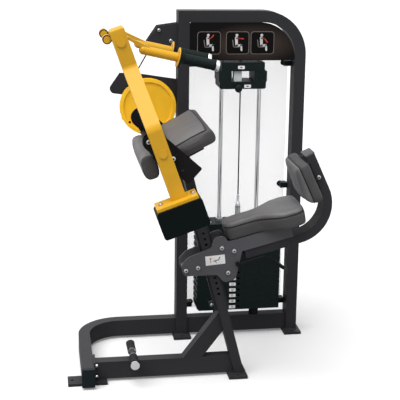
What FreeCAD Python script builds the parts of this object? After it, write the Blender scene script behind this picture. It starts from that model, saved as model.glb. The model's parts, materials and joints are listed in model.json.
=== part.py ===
import FreeCAD, Part

import math
import os
import re

import Sketcher

# A seated triceps extension machine with a weight stack, in millimetres.
# Origin: on the floor under the left tower upright. +X right (the user faces -X), +Y back, +Z up.
# The tower stands in the plane Y = 0; the seat, post, pads and handles are centred on the plane
# Y = middle_y, towards the front.

SIZES = {
    # tower
    "tower_tall": 1510, "tube_wide": 50, "tube_deep": 76, "tube_wall": 3, "upright_spacing": 524,
    "tower_bend": 195, "foot_thick": 12, "foot_wide": 80, "foot_long": 160, "anchor_inset": 18,
    "anchor_bore": 13, "clearance": 0.3,
    # base rails
    "side_rail_x": -457, "side_rail_front": -542, "rail_bend": 190, "cap_long": 20, "cap_lip": 1.5,
    "middle_y": -460, "flange_thick": 8, "flange_margin": 20, "side_foot_long": 164,
    "side_foot_x": -458, "side_foot_y": -480, "post_foot_plate_long": 137, "post_foot_plate_y": -468.5,
    "post_foot_x": 188.5, "post_plate_shift": -10.5,
    # footrest
    "footrest_x": -266, "footrest_reach": 115, "footrest_radius": 12.5, "sleeve_radius": 18,
    "sleeve_start": 29, "footrest_ring": 3, "footrest_cap": 5,
    # post and brace
    "post_wide": 40, "post_deep": 80, "brace_left": -54, "brace_foot": 82, "brace_slope": 52.9,
    "hole_first": 375, "hole_pitch": 25, "hole_count": 12, "hole_radius": 6,
    "rail_thick": 10, "rail_deep": 24, "rail_low": 295, "rail_high": 700,
    "stop_high": 682, "stop_low": 328, "stop_block": 18,
    # elbow axis, pivot plates and pads
    "pivot_x": -179, "pivot_z": 1045, "axle_radius": 15, "plate_tilt": 41.5, "plate_spread": 246,
    "plate_thick": 8, "cross_along": 147, "cross_rise": 14, "cross_radius": 24, "cross_wall": 3,
    "bearing_tilt": 35, "bearing_thick": 10, "bearing_bolt": 58, "bolt_radius": 9, "bolt_tall": 6,
    "pad_tilt": 28.2, "pad_near": 22, "pad_far": 212, "pad_top": -20, "pad_thick": 64,
    "pad_half_width": 233, "board_thick": 9, "board_near": 35, "board_far": 150,
    "board_half_width": 200, "bracket_spread": 120,
    "stop_tilt": 15, "stop_pad_near": -22, "stop_pad_thick": 64, "stop_pad_low": -118,
    "stop_pad_high": -22, "stop_pad_half_width": 210, "stop_bar": 20, "stop_bar_along": 8,
    "stop_bar_rise": -34,
    # pulleys, cam wheel and cable
    "cable_radius": 3, "pulley_x": -57, "pulley_drop": 131, "pulley_groove": 59, "pulley_rim": 63,
    "pulley_half": 12, "pin_radius": 8, "drop_x": 262, "cheek_y": 22, "cheek_thick": 6,
    "cam_across": 25, "cam_rise": 41, "cam_groove": 120, "cam_rim": 125, "cam_half": 12,
    "cam_web": 5, "cam_hub": 34, "cam_anchor": 204.7, "lug_radius": 8, "tower_plate_y": 25,
    "rod_bar_gap": 8, "rod_bar_thick": 10,
    # weight stack
    "plate_count": 15, "lifted_count": 5, "plate_pitch": 27.8, "stack_wide": 388, "stack_deep": 120,
    "stack_low": 131, "plate_chamfer": 10, "rod_radius": 9, "rod_spread": 86, "stem_radius": 9,
    "fitting_radius": 12.5, "fitting_tall": 65, "collar_radius": 17, "collar_tall": 14,
    "selector_radius": 5, "selector_out": 22, "knob_radius": 11, "buffer_radius": 22,
    # add-on weights and covers
    "add_on_left": 154, "add_on_right": 370, "add_on_hang": 341, "add_on_base": 32,
    "add_on_block": 47, "add_on_upper": 38, "add_on_step": 4, "add_on_inset": 11, "window_left": 211,
    "window_right": 313,
    "knob_x": 239, "knob_rise": 4, "placard_tall": 168,
    "placard_y": -34, "sheet_thick": 3, "placard_bend": 160, "lip_deep": 4,
    "shroud_left": 36, "shroud_right": 492, "shroud_low": 104, "shroud_drop": 210, "shroud_gap": 3.5,
    "clip_tall": 24, "clip_share": 0.75,
    # arm
    "arm_lean": 19.6, "arm_tube": 58, "arm_y": -757, "arm_upper_y": -612, "arm_low": -187,
    "arm_kink": 97, "arm_join": 316, "arm_top": 480, "arm_round": 12, "grip_axis": 423,
    "grip_axle_radius": 12.5,
    "flange_left": -95, "flange_right": 71, "arm_flange": 12, "weight_tall": 110,
    "weight_overhang": 9, "weight_near": -835, "weight_far": -718, "boss_radius": 17, "boss_tall": 5,
    # handles
    "handle_tilt": 12.3, "handle_spread": 102, "handle_hub": 18, "handle_drop": -17,
    "handle_tube": 17.5, "handle_start": 97, "guard_at": 238, "guard_radius": 40, "guard_thick": 6,
    "grip_long": 147, "grip_radius": 21, "ring_long": 15, "ring_radius": 22,
    "balance_at": -48, "balance_drop": -6, "balance_radius": 18, "balance_long": 32,
    # carriage, seat and back pad
    "side_plate_spread": 45, "roller_reach": 58, "roller_left_z": 517, "roller_upper_z": 572,
    "roller_lower_z": 460, "roller_half": 15, "bolt_shaft": 6, "spacer_left_x": -109,
    "spacer_left_z": 520, "spacer_right_x": 105, "spacer_right_z": 545, "spacer_radius": 9,
    "seat_line": 513, "seat_tube": 39, "seat_start": 148, "seat_bend_x": 391, "seat_bend": 148,
    "seat_turn": 100.3, "seat_rise": 165, "seat_cap": 6, "seat_level": 590, "seat_wedge_end": 362,
    "seat_front": 88, "seat_back": 429, "seat_thick": 82, "horn_half": 58, "seat_half": 120,
    "back_board": 8, "back_thick": 56, "back_low": -14, "back_high": 162, "back_half": 118,
    # release lever
    "lever_x": 106, "lever_z": 486, "lever_gap": 12, "lever_radius": 5, "lever_bend_x": 228,
    "lever_bend_z": 489, "lever_end_x": 290, "lever_end_z": 414, "lever_grip": 8,
    "lever_grip_long": 55,
}

doc = FreeCAD.newDocument("TricepsExtensionMachine")
sheet = doc.addObject("Spreadsheet::Sheet", "Sizes")
for row, (alias, size) in enumerate(SIZES.items(), 1):
    sheet.set(f"A{row}", alias)
    sheet.set(f"B{row}", str(size))
    sheet.setAlias(f"B{row}", alias)
doc.recompute()

SUB_PARTS = []
SHORTEST_RUN = 0.01  # a straight run of a bent rod that is shorter is left out


# ---------------------------------------------------------------- formulas and frames

def formula(text):
    """Size names in a text become references to the sheet."""
    return re.sub(r"[a-z_]+", lambda word: "Sizes." + word[0] if word[0] in SIZES else word[0],
                  str(text))


def value(text):
    """The number that a formula gives now."""
    result = sheet.evalExpression(formula(text))
    return float(getattr(result, "Value", result))


def bind(item, **texts):
    """Tie properties of an object to formulas; a double underscore stands for a dot."""
    for name, text in texts.items():
        item.setExpression(name.replace("__", "."), formula(text))


def point_in(frame, across, up):
    """World X and Z, as formulas, of a point given in a frame turned about Y."""
    left, base, angle = frame
    world_x = f"({left}) + ({across}) * cos({angle}) + ({up}) * sin({angle})"
    world_z = f"({base}) - ({across}) * sin({angle}) + ({up}) * cos({angle})"
    return world_x, world_z


def place(item, frame, y="0", across="0", up="0", turn="0"):
    """Bind an object's placement: a point of a frame, a plane Y, and the frame's turn about Y."""
    world_x, world_z = point_in(frame, across, up)
    item.Placement = FreeCAD.Placement(FreeCAD.Vector(), FreeCAD.Rotation(FreeCAD.Vector(0, 1, 0), 1))
    bind(item, Placement__Base__x=world_x, Placement__Base__y=y, Placement__Base__z=world_z,
         Placement__Rotation__Angle=f"({frame[2]}) + ({turn})")


UPRIGHT_X = "upright_spacing"
RAIL_TOP = "foot_thick + tube_deep"
CROSS_X = "(pivot_x + cross_along * cos(plate_tilt) + cross_rise * sin(plate_tilt))"
CROSS_Z = "(pivot_z - cross_along * sin(plate_tilt) + cross_rise * cos(plate_tilt))"
POST_LEAN = f"(atan((post_foot_x - {CROSS_X}) / ({CROSS_Z} - foot_thick)) / 1 deg)"
POST_LONG = f"(({CROSS_Z} - foot_thick) / cos({POST_LEAN}))"

WORLD = ("0", "0", "0")
POST = ("post_foot_x", "foot_thick", f"-{POST_LEAN}")
PLATE = ("pivot_x", "pivot_z", "plate_tilt")
BEARING = ("pivot_x", "pivot_z", "bearing_tilt")
ELBOW = ("pivot_x", "pivot_z", "-pad_tilt")
STOP = ("pivot_x", "pivot_z", "-stop_tilt")
ARM = ("pivot_x", "pivot_z", "-arm_lean")
HANDLE = point_in(ARM, "0", "grip_axis") + ("handle_tilt",)
UPPER_RUN_X = "(seat_bend_x + (seat_bend - seat_tube / 2) * sin(seat_turn))"
UPPER_RUN_Z = "(seat_line + seat_bend - (seat_bend - seat_tube / 2) * cos(seat_turn))"
BACK = point_in(POST, UPPER_RUN_X, UPPER_RUN_Z) + (f"90 - seat_turn - {POST_LEAN}",)
PULLEY_Z = "(tower_tall - pulley_drop)"
CAM_X = "(pivot_x + cam_across)"
CAM_Z = "(pivot_z + cam_rise)"
CROWN_X = "(drop_x - pulley_groove)"
CABLE_Z = f"({PULLEY_Z} + pulley_groove)"


# ---------------------------------------------------------------- sketches and solids

def new_sketch(body, role):
    """A sketch on one of the body's own origin planes."""
    sketch = body.newObject("Sketcher::SketchObject", body.Name + "_sketch")
    plane = next(item for item in body.Origin.OriginFeatures if item.Role == role)
    sketch.AttachmentSupport = [(plane, "")]
    sketch.MapMode = "FlatFace"
    return sketch


def fix_point(sketch, geometry, end, across, up):
    """Tie a point's place in the sketch to two formulas."""
    for kind, text in (("DistanceX", across), ("DistanceY", up)):
        index = sketch.addConstraint(Sketcher.Constraint(kind, -1, 1, geometry, end, value(text)))
        sketch.setExpression(f"Constraints[{index}]", formula(text))


def fix_radius(sketch, geometry, text):
    """Tie a circle's or an arc's radius to a formula."""
    index = sketch.addConstraint(Sketcher.Constraint("Radius", geometry, value(text)))
    sketch.setExpression(f"Constraints[{index}]", formula(text))


def draw_circle(sketch, across, up, radius):
    """A circle with bound centre and radius."""
    centre = FreeCAD.Vector(value(across), value(up), 0)
    ring = sketch.addGeometry(Part.Circle(centre, FreeCAD.Vector(0, 0, 1), value(radius)), False)
    fix_point(sketch, ring, 3, across, up)
    fix_radius(sketch, ring, radius)


def draw_outline(sketch, corners):
    """A closed outline of straight sides; a third entry at a corner rounds it by that radius."""
    spots = [FreeCAD.Vector(value(corner[0]), value(corner[1]), 0) for corner in corners]
    count = len(corners)
    arcs = {}
    starts = list(spots)
    stops = list(spots)
    for index, corner in enumerate(corners):
        if len(corner) < 3:
            continue
        before = (spots[index - 1] - spots[index]).normalize()
        after = (spots[(index + 1) % count] - spots[index]).normalize()
        half_turn = (math.pi - before.getAngle(after)) / 2
        radius = value(corner[2])
        stops[index] = spots[index] + before * radius * math.tan(half_turn)
        starts[index] = spots[index] + after * radius * math.tan(half_turn)
        centre = spots[index] + (before + after).normalize() * (radius / math.cos(half_turn))
        turns_left = before.cross(after).z < 0
        first, last = (stops[index], starts[index]) if turns_left else (starts[index], stops[index])
        angles = [math.atan2(end.y - centre.y, end.x - centre.x) for end in (first, last)]
        circle = Part.Circle(centre, FreeCAD.Vector(0, 0, 1), radius)
        arc = sketch.addGeometry(Part.ArcOfCircle(circle, angles[0], angles[1]), False)
        arcs[index] = (arc, (1, 2) if turns_left else (2, 1))
    lines = [sketch.addGeometry(Part.LineSegment(starts[index], stops[(index + 1) % count]), False)
             for index in range(count)]
    for index, corner in enumerate(corners):
        before_line = lines[index - 1]
        after_line = lines[index]
        if index not in arcs:
            sketch.addConstraint(Sketcher.Constraint("Coincident", before_line, 2, after_line, 1))
            fix_point(sketch, after_line, 1, corner[0], corner[1])
            continue
        arc, (arrive, leave) = arcs[index]
        sketch.addConstraint(Sketcher.Constraint("Tangent", before_line, 2, arc, arrive))
        sketch.addConstraint(Sketcher.Constraint("Tangent", arc, leave, after_line, 1))
        fix_radius(sketch, arc, corner[2])
        tip = sketch.addGeometry(Part.Point(spots[index]), True)
        fix_point(sketch, tip, 1, corner[0], corner[1])
        for line in (before_line, after_line):
            sketch.addConstraint(Sketcher.Constraint("PointOnObject", tip, 1, line))


def padded(name, role, corners, thick, holes=(), both_ways=True):
    """A body that pads an outline, or the first circle of holes where there is no outline."""
    body = doc.addObject("PartDesign::Body", name)
    sketch = new_sketch(body, role)
    if corners:
        draw_outline(sketch, corners)
    for hole in holes:
        draw_circle(sketch, *hole)
    pad = body.newObject("PartDesign::Pad", name + "_pad")
    pad.Profile = sketch
    pad.SideType = "Symmetric" if both_ways else "One side"
    bind(pad, Length=thick)
    return body


def slab(name, frame, corners, y, thick, holes=()):
    """An outline in a frame's X-Z plane, made thick evenly about the plane Y = y."""
    body = padded(name, "XZ_Plane", corners, thick, holes)
    place(body, frame, y)
    return body


def disc(name, frame, across, up, radius, y, thick, bore=None):
    """A round piece along Y at a point of a frame, with an optional bore."""
    rings = [("0", "0", radius)] + ([("0", "0", bore)] if bore else [])
    body = padded(name, "XZ_Plane", None, thick, rings)
    place(body, frame, y, across, up)
    return body


def plan(name, frame, corners, y, low, thick, holes=()):
    """An outline in a frame's X-Y plane, made thick upwards from the height low."""
    body = padded(name, "XY_Plane", corners, thick, holes, both_ways=False)
    place(body, frame, y, "0", low)
    return body


def turned(name, frame, across, up, y, corners):
    """A body of revolution about an axis along Y; its corners are (radius, offset in Y)."""
    body = doc.addObject("PartDesign::Body", name)
    sketch = new_sketch(body, "XY_Plane")
    draw_outline(sketch, corners)
    revolution = body.newObject("PartDesign::Revolution", name + "_turn")
    revolution.Profile = sketch
    revolution.ReferenceAxis = (sketch, ["V_Axis"])
    revolution.Angle = 360
    place(body, frame, y, across, up)
    return body


def rod(name, frame, across, up, y, radius, length, turn="0"):
    """A round bar that starts at a point of a frame and runs along its Z, or turned from it."""
    bar = doc.addObject("Part::Cylinder", name)
    bind(bar, Radius=radius, Height=length)
    place(bar, frame, y, across, up, turn)
    return bar


def ball(name, frame, across, up, y, radius):
    """A ball centred on a point of a frame."""
    sphere = doc.addObject("Part::Sphere", name)
    bind(sphere, Radius=radius)
    place(sphere, frame, y, across, up)
    return sphere


def block(name, left, right, front, back, low, high):
    """An upright block between six planes."""
    box = doc.addObject("Part::Box", name)
    bind(box, Length=f"({right}) - ({left})", Width=f"({back}) - ({front})",
         Height=f"({high}) - ({low})", Placement__Base__x=left, Placement__Base__y=front,
         Placement__Base__z=low)
    return box


def rectangle(left, right, low, high, radius=None):
    """The four corners of a rectangle, sharp or rounded."""
    corners = [(left, low), (right, low), (right, high), (left, high)]
    return [corner + (radius,) for corner in corners] if radius else corners


def fused(name, pieces):
    """Pieces welded into one solid."""
    weld = doc.addObject("Part::MultiFuse", name)
    weld.Shapes = pieces
    weld.Refine = True
    return weld


def common(name, pieces):
    """What several pieces share."""
    shared = doc.addObject("Part::MultiCommon", name)
    shared.Shapes = pieces
    return shared


def grouped(name, pieces):
    """Separate solids kept together."""
    group = doc.addObject("Part::Compound", name)
    group.Links = pieces
    return group


def cut(name, base, tools):
    """A piece with other pieces taken away from it."""
    result = doc.addObject("Part::Cut", name)
    result.Base = base
    result.Tool = tools[0] if len(tools) == 1 else grouped(name + "_tools", tools)
    return result


def sub_part(item, label):
    """Name a finished sub-part and put it on the list of files."""
    item.Label = label
    SUB_PARTS.append(item)
    return item


def bent_rod(label, frame, y, points, radius, bends):
    """A round rod along straight runs joined by tangent arcs, in one plane of a frame."""
    spots = [FreeCAD.Vector(value(across), 0, value(up)) for across, up in points]
    edges = []
    start = spots[0]
    for index in range(1, len(spots) - 1):
        back = (start - spots[index]).normalize()
        ahead = (spots[index + 1] - spots[index]).normalize()
        half_turn = (math.pi - back.getAngle(ahead)) / 2
        bend = value(bends[index - 1])
        arrive = spots[index] + back * bend * math.tan(half_turn)
        leave = spots[index] + ahead * bend * math.tan(half_turn)
        inward = (back + ahead).normalize()
        crown = spots[index] + inward * (bend / math.cos(half_turn) - bend)
        if (arrive - start).Length > SHORTEST_RUN:
            edges.append(Part.LineSegment(start, arrive).toShape())
        edges.append(Part.Arc(arrive, crown, leave).toShape())
        start = leave
    if (spots[-1] - start).Length > SHORTEST_RUN:
        edges.append(Part.LineSegment(start, spots[-1]).toShape())
    path = Part.Wire(edges)
    heading = edges[0].tangentAt(edges[0].FirstParameter)
    section = Part.Wire([Part.makeCircle(value(radius), spots[0], heading)])
    wire_rod = doc.addObject("Part::Feature", label)
    wire_rod.Shape = path.makePipeShell([section], True, False)
    place(wire_rod, frame, y)
    print(label, "volume", round(wire_rod.Shape.Volume),
          "section x length", round(math.pi * value(radius) ** 2 * path.Length))
    return wire_rod


# ---------------------------------------------------------------- tower and base

def tower_outline(inset, low):
    """The tower's inverted U with its one large bend, moved inwards by an inset."""
    half = "tube_wide / 2"
    return [(f"-{half} + {inset}", low), (f"-{half} + {inset}", f"tower_tall - {inset}"),
            (f"{UPRIGHT_X} + {half} - {inset}", f"tower_tall - {inset}", f"tower_bend - {inset}"),
            (f"{UPRIGHT_X} + {half} - {inset}", low), (f"{UPRIGHT_X} - {half} + {inset}", low),
            (f"{UPRIGHT_X} - {half} + {inset}", f"tower_tall - tube_wide + {inset}",
             f"tower_bend - tube_wide + {inset}"),
            (f"{half} - {inset}", f"tower_tall - tube_wide + {inset}"), (f"{half} - {inset}", low)]


frame_skin = slab("tower_skin", WORLD, tower_outline("0", "foot_thick"), "0", "tube_deep")
frame_core = slab("tower_core", WORLD, tower_outline("tube_wall", "foot_thick - 1"), "0",
                  "tube_deep - 2 * tube_wall")
entry_slot = block("entry_slot", "-tube_wide / 2 - 1", "-tube_wide / 2 + tube_wall + 1",
                   "-pulley_half - 4", "pulley_half + 4", f"{PULLEY_Z} - pulley_rim",
                   f"{PULLEY_Z} + pulley_rim + 4")
exit_slot = block("exit_slot", "tube_wide / 2 - tube_wall - 1", "tube_wide / 2 + 1",
                  "-pulley_half - 4", "pulley_half + 4", f"{CABLE_Z} - 12", f"{CABLE_Z} + 8")
sub_part(cut("tower", frame_skin, [frame_core, entry_slot, exit_slot]), "tower_frame")


def rail_outline(inset, overrun):
    """The bent rear rail seen from above, from the upright to the front end of the side tube."""
    outer = f"side_rail_x - tube_wide / 2 + {inset}"
    inner = f"side_rail_x + tube_wide / 2 - {inset}"
    back = f"tube_wide / 2 - {inset}"
    near = f"-tube_wide / 2 + {inset}"
    return [(f"-tube_wide / 2 + {overrun}", near), (f"-tube_wide / 2 + {overrun}", back),
            (outer, back, f"rail_bend - {inset}"), (outer, f"side_rail_front - {overrun}"),
            (inner, f"side_rail_front - {overrun}"), (inner, near, f"rail_bend - tube_wide + {inset}")]


bent_skin = plan("bent_rail_skin", WORLD, rail_outline("0", "0"), "0", "foot_thick", "tube_deep")
bent_core = plan("bent_rail_core", WORLD, rail_outline("tube_wall", "1"), "0",
                 "foot_thick + tube_wall", "tube_deep - 2 * tube_wall")
cross_skin = block("cross_rail_skin", "tube_wide / 2", f"{UPRIGHT_X} - tube_wide / 2",
                   "-tube_wide / 2", "tube_wide / 2", "foot_thick", RAIL_TOP)
cross_core = block("cross_rail_core", "tube_wide / 2 - 1", f"{UPRIGHT_X} - tube_wide / 2 + 1",
                   "-tube_wide / 2 + tube_wall", "tube_wide / 2 - tube_wall",
                   "foot_thick + tube_wall", f"{RAIL_TOP} - tube_wall")
sub_part(grouped("rails", [cut("bent_rail", bent_skin, [bent_core]),
                           cut("cross_rail", cross_skin, [cross_core])]), "rear_rails")

sub_part(block("end_cap", "side_rail_x - tube_wide / 2 - cap_lip",
               "side_rail_x + tube_wide / 2 + cap_lip", "side_rail_front - cap_long",
               "side_rail_front", "foot_thick - cap_lip", f"{RAIL_TOP} + cap_lip"), "side_rail_cap")

FLANGE_X = "side_rail_x + tube_wide / 2"
BEAM_X = f"({FLANGE_X} + flange_thick)"
POST_FACE = f"(post_foot_x - post_wide / 2 / cos({POST_LEAN}))"
beam_skin = slab("beam_skin", WORLD,
                 [(BEAM_X, "foot_thick"), (POST_FACE, "foot_thick"),
                  (f"{POST_FACE} - tube_deep * tan({POST_LEAN})", RAIL_TOP), (BEAM_X, RAIL_TOP)],
                 "middle_y", "tube_wide")
beam_core = block("beam_core", BEAM_X, f"{POST_FACE} - tube_deep", "middle_y - tube_wide / 2 + tube_wall",
                  "middle_y + tube_wide / 2 - tube_wall", "foot_thick + tube_wall",
                  f"{RAIL_TOP} - tube_wall")
beam_flange = block("beam_flange", FLANGE_X, BEAM_X, "middle_y - tube_wide / 2 - flange_margin",
                    "middle_y + tube_wide / 2 + flange_margin", "foot_thick", f"{RAIL_TOP} + 8")
sub_part(fused("beam", [cut("beam_tube", beam_skin, [beam_core]), beam_flange]), "front_beam")


def floor_plate(name, centre_x, centre_y, along_x, along_y, hole_across, hole_out):
    """A flat foot with one anchor hole at each end."""
    holes = [(f"{side} * ({hole_across})", f"{side} * ({hole_out})", "anchor_bore / 2")
             for side in ("-1", "1")]
    body = padded(name, "XY_Plane", rectangle(f"-({along_x}) / 2", f"({along_x}) / 2",
                                              f"-({along_y}) / 2", f"({along_y}) / 2"),
                  "foot_thick", holes, both_ways=False)
    bind(body, Placement__Base__x=centre_x, Placement__Base__y=centre_y)
    return body


ANCHOR_OUT = "foot_long / 2 - anchor_inset"
feet = [floor_plate("left_foot", "0", "0", "foot_wide", "foot_long", "0", ANCHOR_OUT),
        floor_plate("right_foot", UPRIGHT_X, "0", "foot_wide", "foot_long", "0", ANCHOR_OUT),
        floor_plate("post_foot", "post_foot_x + post_plate_shift", "post_foot_plate_y", "foot_wide",
                    "post_foot_plate_long", "0", "post_foot_plate_long / 2 - anchor_inset"),
        floor_plate("side_foot", "side_foot_x", "side_foot_y", "side_foot_long", "foot_wide",
                    "side_foot_long / 2 - anchor_inset", "0")]
sub_part(grouped("feet", feet), "floor_plates")


# ---------------------------------------------------------------- footrest

PEG_Z = f"({RAIL_TOP} + sleeve_radius)"
saddle = block("footrest_saddle", "footrest_x - 10", "footrest_x + 10", "middle_y - 20",
               "middle_y + 20", RAIL_TOP, PEG_Z)
peg = disc("footrest_peg", WORLD, "footrest_x", PEG_Z, "footrest_radius", "middle_y",
           "2 * footrest_reach")
sub_part(fused("footrest", [saddle, peg]), "footrest_bar")


def on_both_sides(name, start, length, radius, bore=None):
    """A pair of round pieces on the footrest's bar, one on each side of the middle plane."""
    return [disc(f"{name}_{side}", WORLD, "footrest_x", PEG_Z, radius,
                 f"middle_y + {sign} * (({start}) + ({length}) / 2)", length, bore)
            for side, sign in (("near", "-1"), ("far", "1"))]


sub_part(grouped("sleeves", on_both_sides("sleeve", "sleeve_start", "footrest_reach - sleeve_start",
                                          "sleeve_radius", "footrest_radius")), "footrest_sleeves")
sub_part(grouped("peg_trim", on_both_sides("peg_cap", "footrest_reach", "footrest_cap",
                                           "sleeve_radius + 0.5")
                 + on_both_sides("peg_ring", "sleeve_start - footrest_ring", "footrest_ring",
                                 "sleeve_radius - 0.5", "footrest_radius")), "footrest_caps")


# ---------------------------------------------------------------- post

HALF_POST = "post_wide / 2"
post_skin = slab("post_skin", POST,
                 [(f"-{HALF_POST}", f"{HALF_POST} * tan({POST_LEAN})"),
                  (HALF_POST, f"-{HALF_POST} * tan({POST_LEAN})"),
                  (HALF_POST, f"{POST_LONG} - 10"), (f"-{HALF_POST}", f"{POST_LONG} - 10")],
                 "middle_y", "post_deep")
post_core = slab("post_core", POST, rectangle(f"-{HALF_POST} + tube_wall", f"{HALF_POST} - tube_wall",
                                              "30", f"{POST_LONG}"), "middle_y",
                 "post_deep - 2 * tube_wall")
cope = disc("post_cope", POST, "0", POST_LONG, "cross_radius", "middle_y", "post_deep + 10")
adjust_holes = [disc(f"adjust_hole_{index}", POST, "0", f"hole_first + {index} * hole_pitch",
                     "hole_radius", "middle_y", "post_deep + 10")
                for index in range(SIZES["hole_count"])]
hollow_post = cut("post", post_skin, [post_core, cope] + adjust_holes)

BRACE_TILT = f"(1 / tan(brace_slope) + tan({POST_LEAN}))"


def brace_top(foot_x):
    """Where a side of the brace that starts on the beam meets the post's left face."""
    rise = f"(({POST_FACE} - tube_deep * tan({POST_LEAN}) - ({foot_x})) / {BRACE_TILT})"
    return f"({foot_x}) + {rise} / tan(brace_slope)", f"{RAIL_TOP} + {rise}"


brace = slab("brace", WORLD, [("brace_left", RAIL_TOP), ("brace_left + brace_foot", RAIL_TOP),
                              brace_top("brace_left + brace_foot"), brace_top("brace_left")],
             "middle_y", "tube_wide")
sub_part(fused("braced_post", [hollow_post, brace]), "main_post")

RAIL_REACH = f"({HALF_POST} + rail_thick)"
rails = [slab("guide_left", POST, rectangle(f"-{RAIL_REACH}", f"-{HALF_POST}", "rail_low",
                                            "rail_high"), "middle_y", "rail_deep"),
         slab("guide_right", POST, rectangle(HALF_POST, RAIL_REACH, "rail_low", "rail_high"),
              "middle_y", "rail_deep")]

BLOCK_REACH = f"({RAIL_REACH} + stop_block)"
stop_blocks = [slab("stop_block_high", POST,
                    rectangle(RAIL_REACH, BLOCK_REACH, "stop_high - stop_block / 2",
                              "stop_high + stop_block / 2"), "middle_y", "rail_deep"),
               slab("stop_block_low", POST,
                    rectangle(f"-{BLOCK_REACH}", f"-{RAIL_REACH}", "stop_low - stop_block / 2",
                              "stop_low + stop_block / 2"), "middle_y", "rail_deep")]
sub_part(grouped("guides", [fused("guide_with_high_stop", [rails[1], stop_blocks[0]]),
                            fused("guide_with_low_stop", [rails[0], stop_blocks[1]])]),
         "guide_rails")


# ---------------------------------------------------------------- elbow axis, pads and bearings

INNER_GAP = "(2 * plate_spread - plate_thick)"
tube_ring = disc("cross_ring", PLATE, "cross_along", "cross_rise", "cross_radius", "middle_y",
                 INNER_GAP, "cross_radius - cross_wall")
CROSS_U = f"(({CROSS_X} - pivot_x) * cos(pad_tilt) + ({CROSS_Z} - pivot_z) * sin(pad_tilt))"
BOARD_LOW = "(pad_top - pad_thick - board_thick)"
brackets = [slab(f"pad_bracket_{side}", ELBOW,
                 rectangle(f"{CROSS_U} - 22", f"{CROSS_U} + 22", f"{BOARD_LOW} - 30", BOARD_LOW),
                 f"middle_y + {sign} * bracket_spread", "10") for side, sign in (("near", "-1"),
                                                                               ("far", "1"))]
sub_part(fused("cross", [tube_ring] + brackets), "cross_tube")

AXLE_BORE = "axle_radius + clearance"
plate_corners = [("-84", "-36", "41"), ("173", "-31", "6"), ("173", "49", "6"), ("-84", "48", "41")]
pivot_pair = [slab(f"pivot_plate_{side}", PLATE, plate_corners,
                   f"middle_y + {sign} * plate_spread", "plate_thick",
                   [("0", "0", AXLE_BORE), ("120", "-6", "5")])
              for side, sign in (("near", "-1"), ("far", "1"))]
HALF_BAR = "stop_bar / 2"
BAR_CORNERS = rectangle(f"stop_bar_along - {HALF_BAR}", f"stop_bar_along + {HALF_BAR}",
                        f"stop_bar_rise - {HALF_BAR}", f"stop_bar_rise + {HALF_BAR}")
stop_bar = slab("stop_pad_bar", PLATE, BAR_CORNERS, "middle_y", INNER_GAP)
sub_part(fused("pivot", pivot_pair + [stop_bar]), "pivot_plates")

BEARING_Y = "(plate_spread + plate_thick / 2 + bearing_thick / 2)"
TOWER_BEARING_Y = "(tower_plate_y + plate_thick / 2 + bearing_thick / 2)"
bearing_corners = [("-bearing_bolt - 18", "-14", "13"), ("0", "-42", "34"),
                   ("bearing_bolt + 18", "-14", "13"), ("bearing_bolt + 18", "14", "13"),
                   ("0", "42", "34"), ("-bearing_bolt - 18", "14", "13")]
bearing_planes = {"near": f"middle_y - {BEARING_Y}", "far": f"middle_y + {BEARING_Y}",
                  "tower": TOWER_BEARING_Y}
sub_part(grouped("bearings", [slab(f"bearing_{side}", BEARING, bearing_corners, plane,
                                   "bearing_thick", [("0", "0", AXLE_BORE)])
                              for side, plane in bearing_planes.items()]), "axle_bearings")

sub_part(slab("pad_board", ELBOW, rectangle("board_near", "board_far", BOARD_LOW,
                                            "pad_top - pad_thick"), "middle_y",
              "2 * board_half_width"), "elbow_pad_board")
sub_part(slab("arm_pad", ELBOW, [("pad_near", "pad_top - pad_thick", "8"),
                                 ("pad_far", "pad_top - pad_thick", "22"),
                                 ("pad_far", "pad_top", "26"), ("pad_near", "pad_top", "22")],
              "middle_y", "2 * pad_half_width"), "elbow_pad")

stop_cushion = slab("stop_cushion", STOP,
                    rectangle("stop_pad_near - stop_pad_thick", "stop_pad_near", "stop_pad_low",
                              "stop_pad_high", "24"), "middle_y", "2 * stop_pad_half_width")
bar_passage = slab("bar_passage", PLATE,
                   rectangle(f"stop_bar_along - {HALF_BAR} - clearance",
                             f"stop_bar_along + {HALF_BAR} + clearance",
                             f"stop_bar_rise - {HALF_BAR} - clearance",
                             f"stop_bar_rise + {HALF_BAR} + clearance"), "middle_y", INNER_GAP)
sub_part(cut("cushion", stop_cushion, [bar_passage]), "stop_pad")

TOWER_FACE = "-tube_wide / 2"
sub_part(slab("side_plate", WORLD,
              [(TOWER_FACE, "pivot_z + 30"), (TOWER_FACE, "pivot_z + 159"),
               ("-200", "pivot_z + 186"), ("pivot_x - 98", "pivot_z + 188"),
               ("pivot_x - 158", "pivot_z + 101", "22"), ("pivot_x - 80", "pivot_z + 91"),
               ("pivot_x - 80", "pivot_z - 20", "30"), ("pivot_x - 50", "pivot_z - 60", "20"),
               ("pivot_x + 60", "pivot_z - 66", "30")], "tower_plate_y", "plate_thick",
              [("pivot_x", "pivot_z", AXLE_BORE)]), "tower_pivot_plate")


# ---------------------------------------------------------------- pulleys and cam wheel

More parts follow.
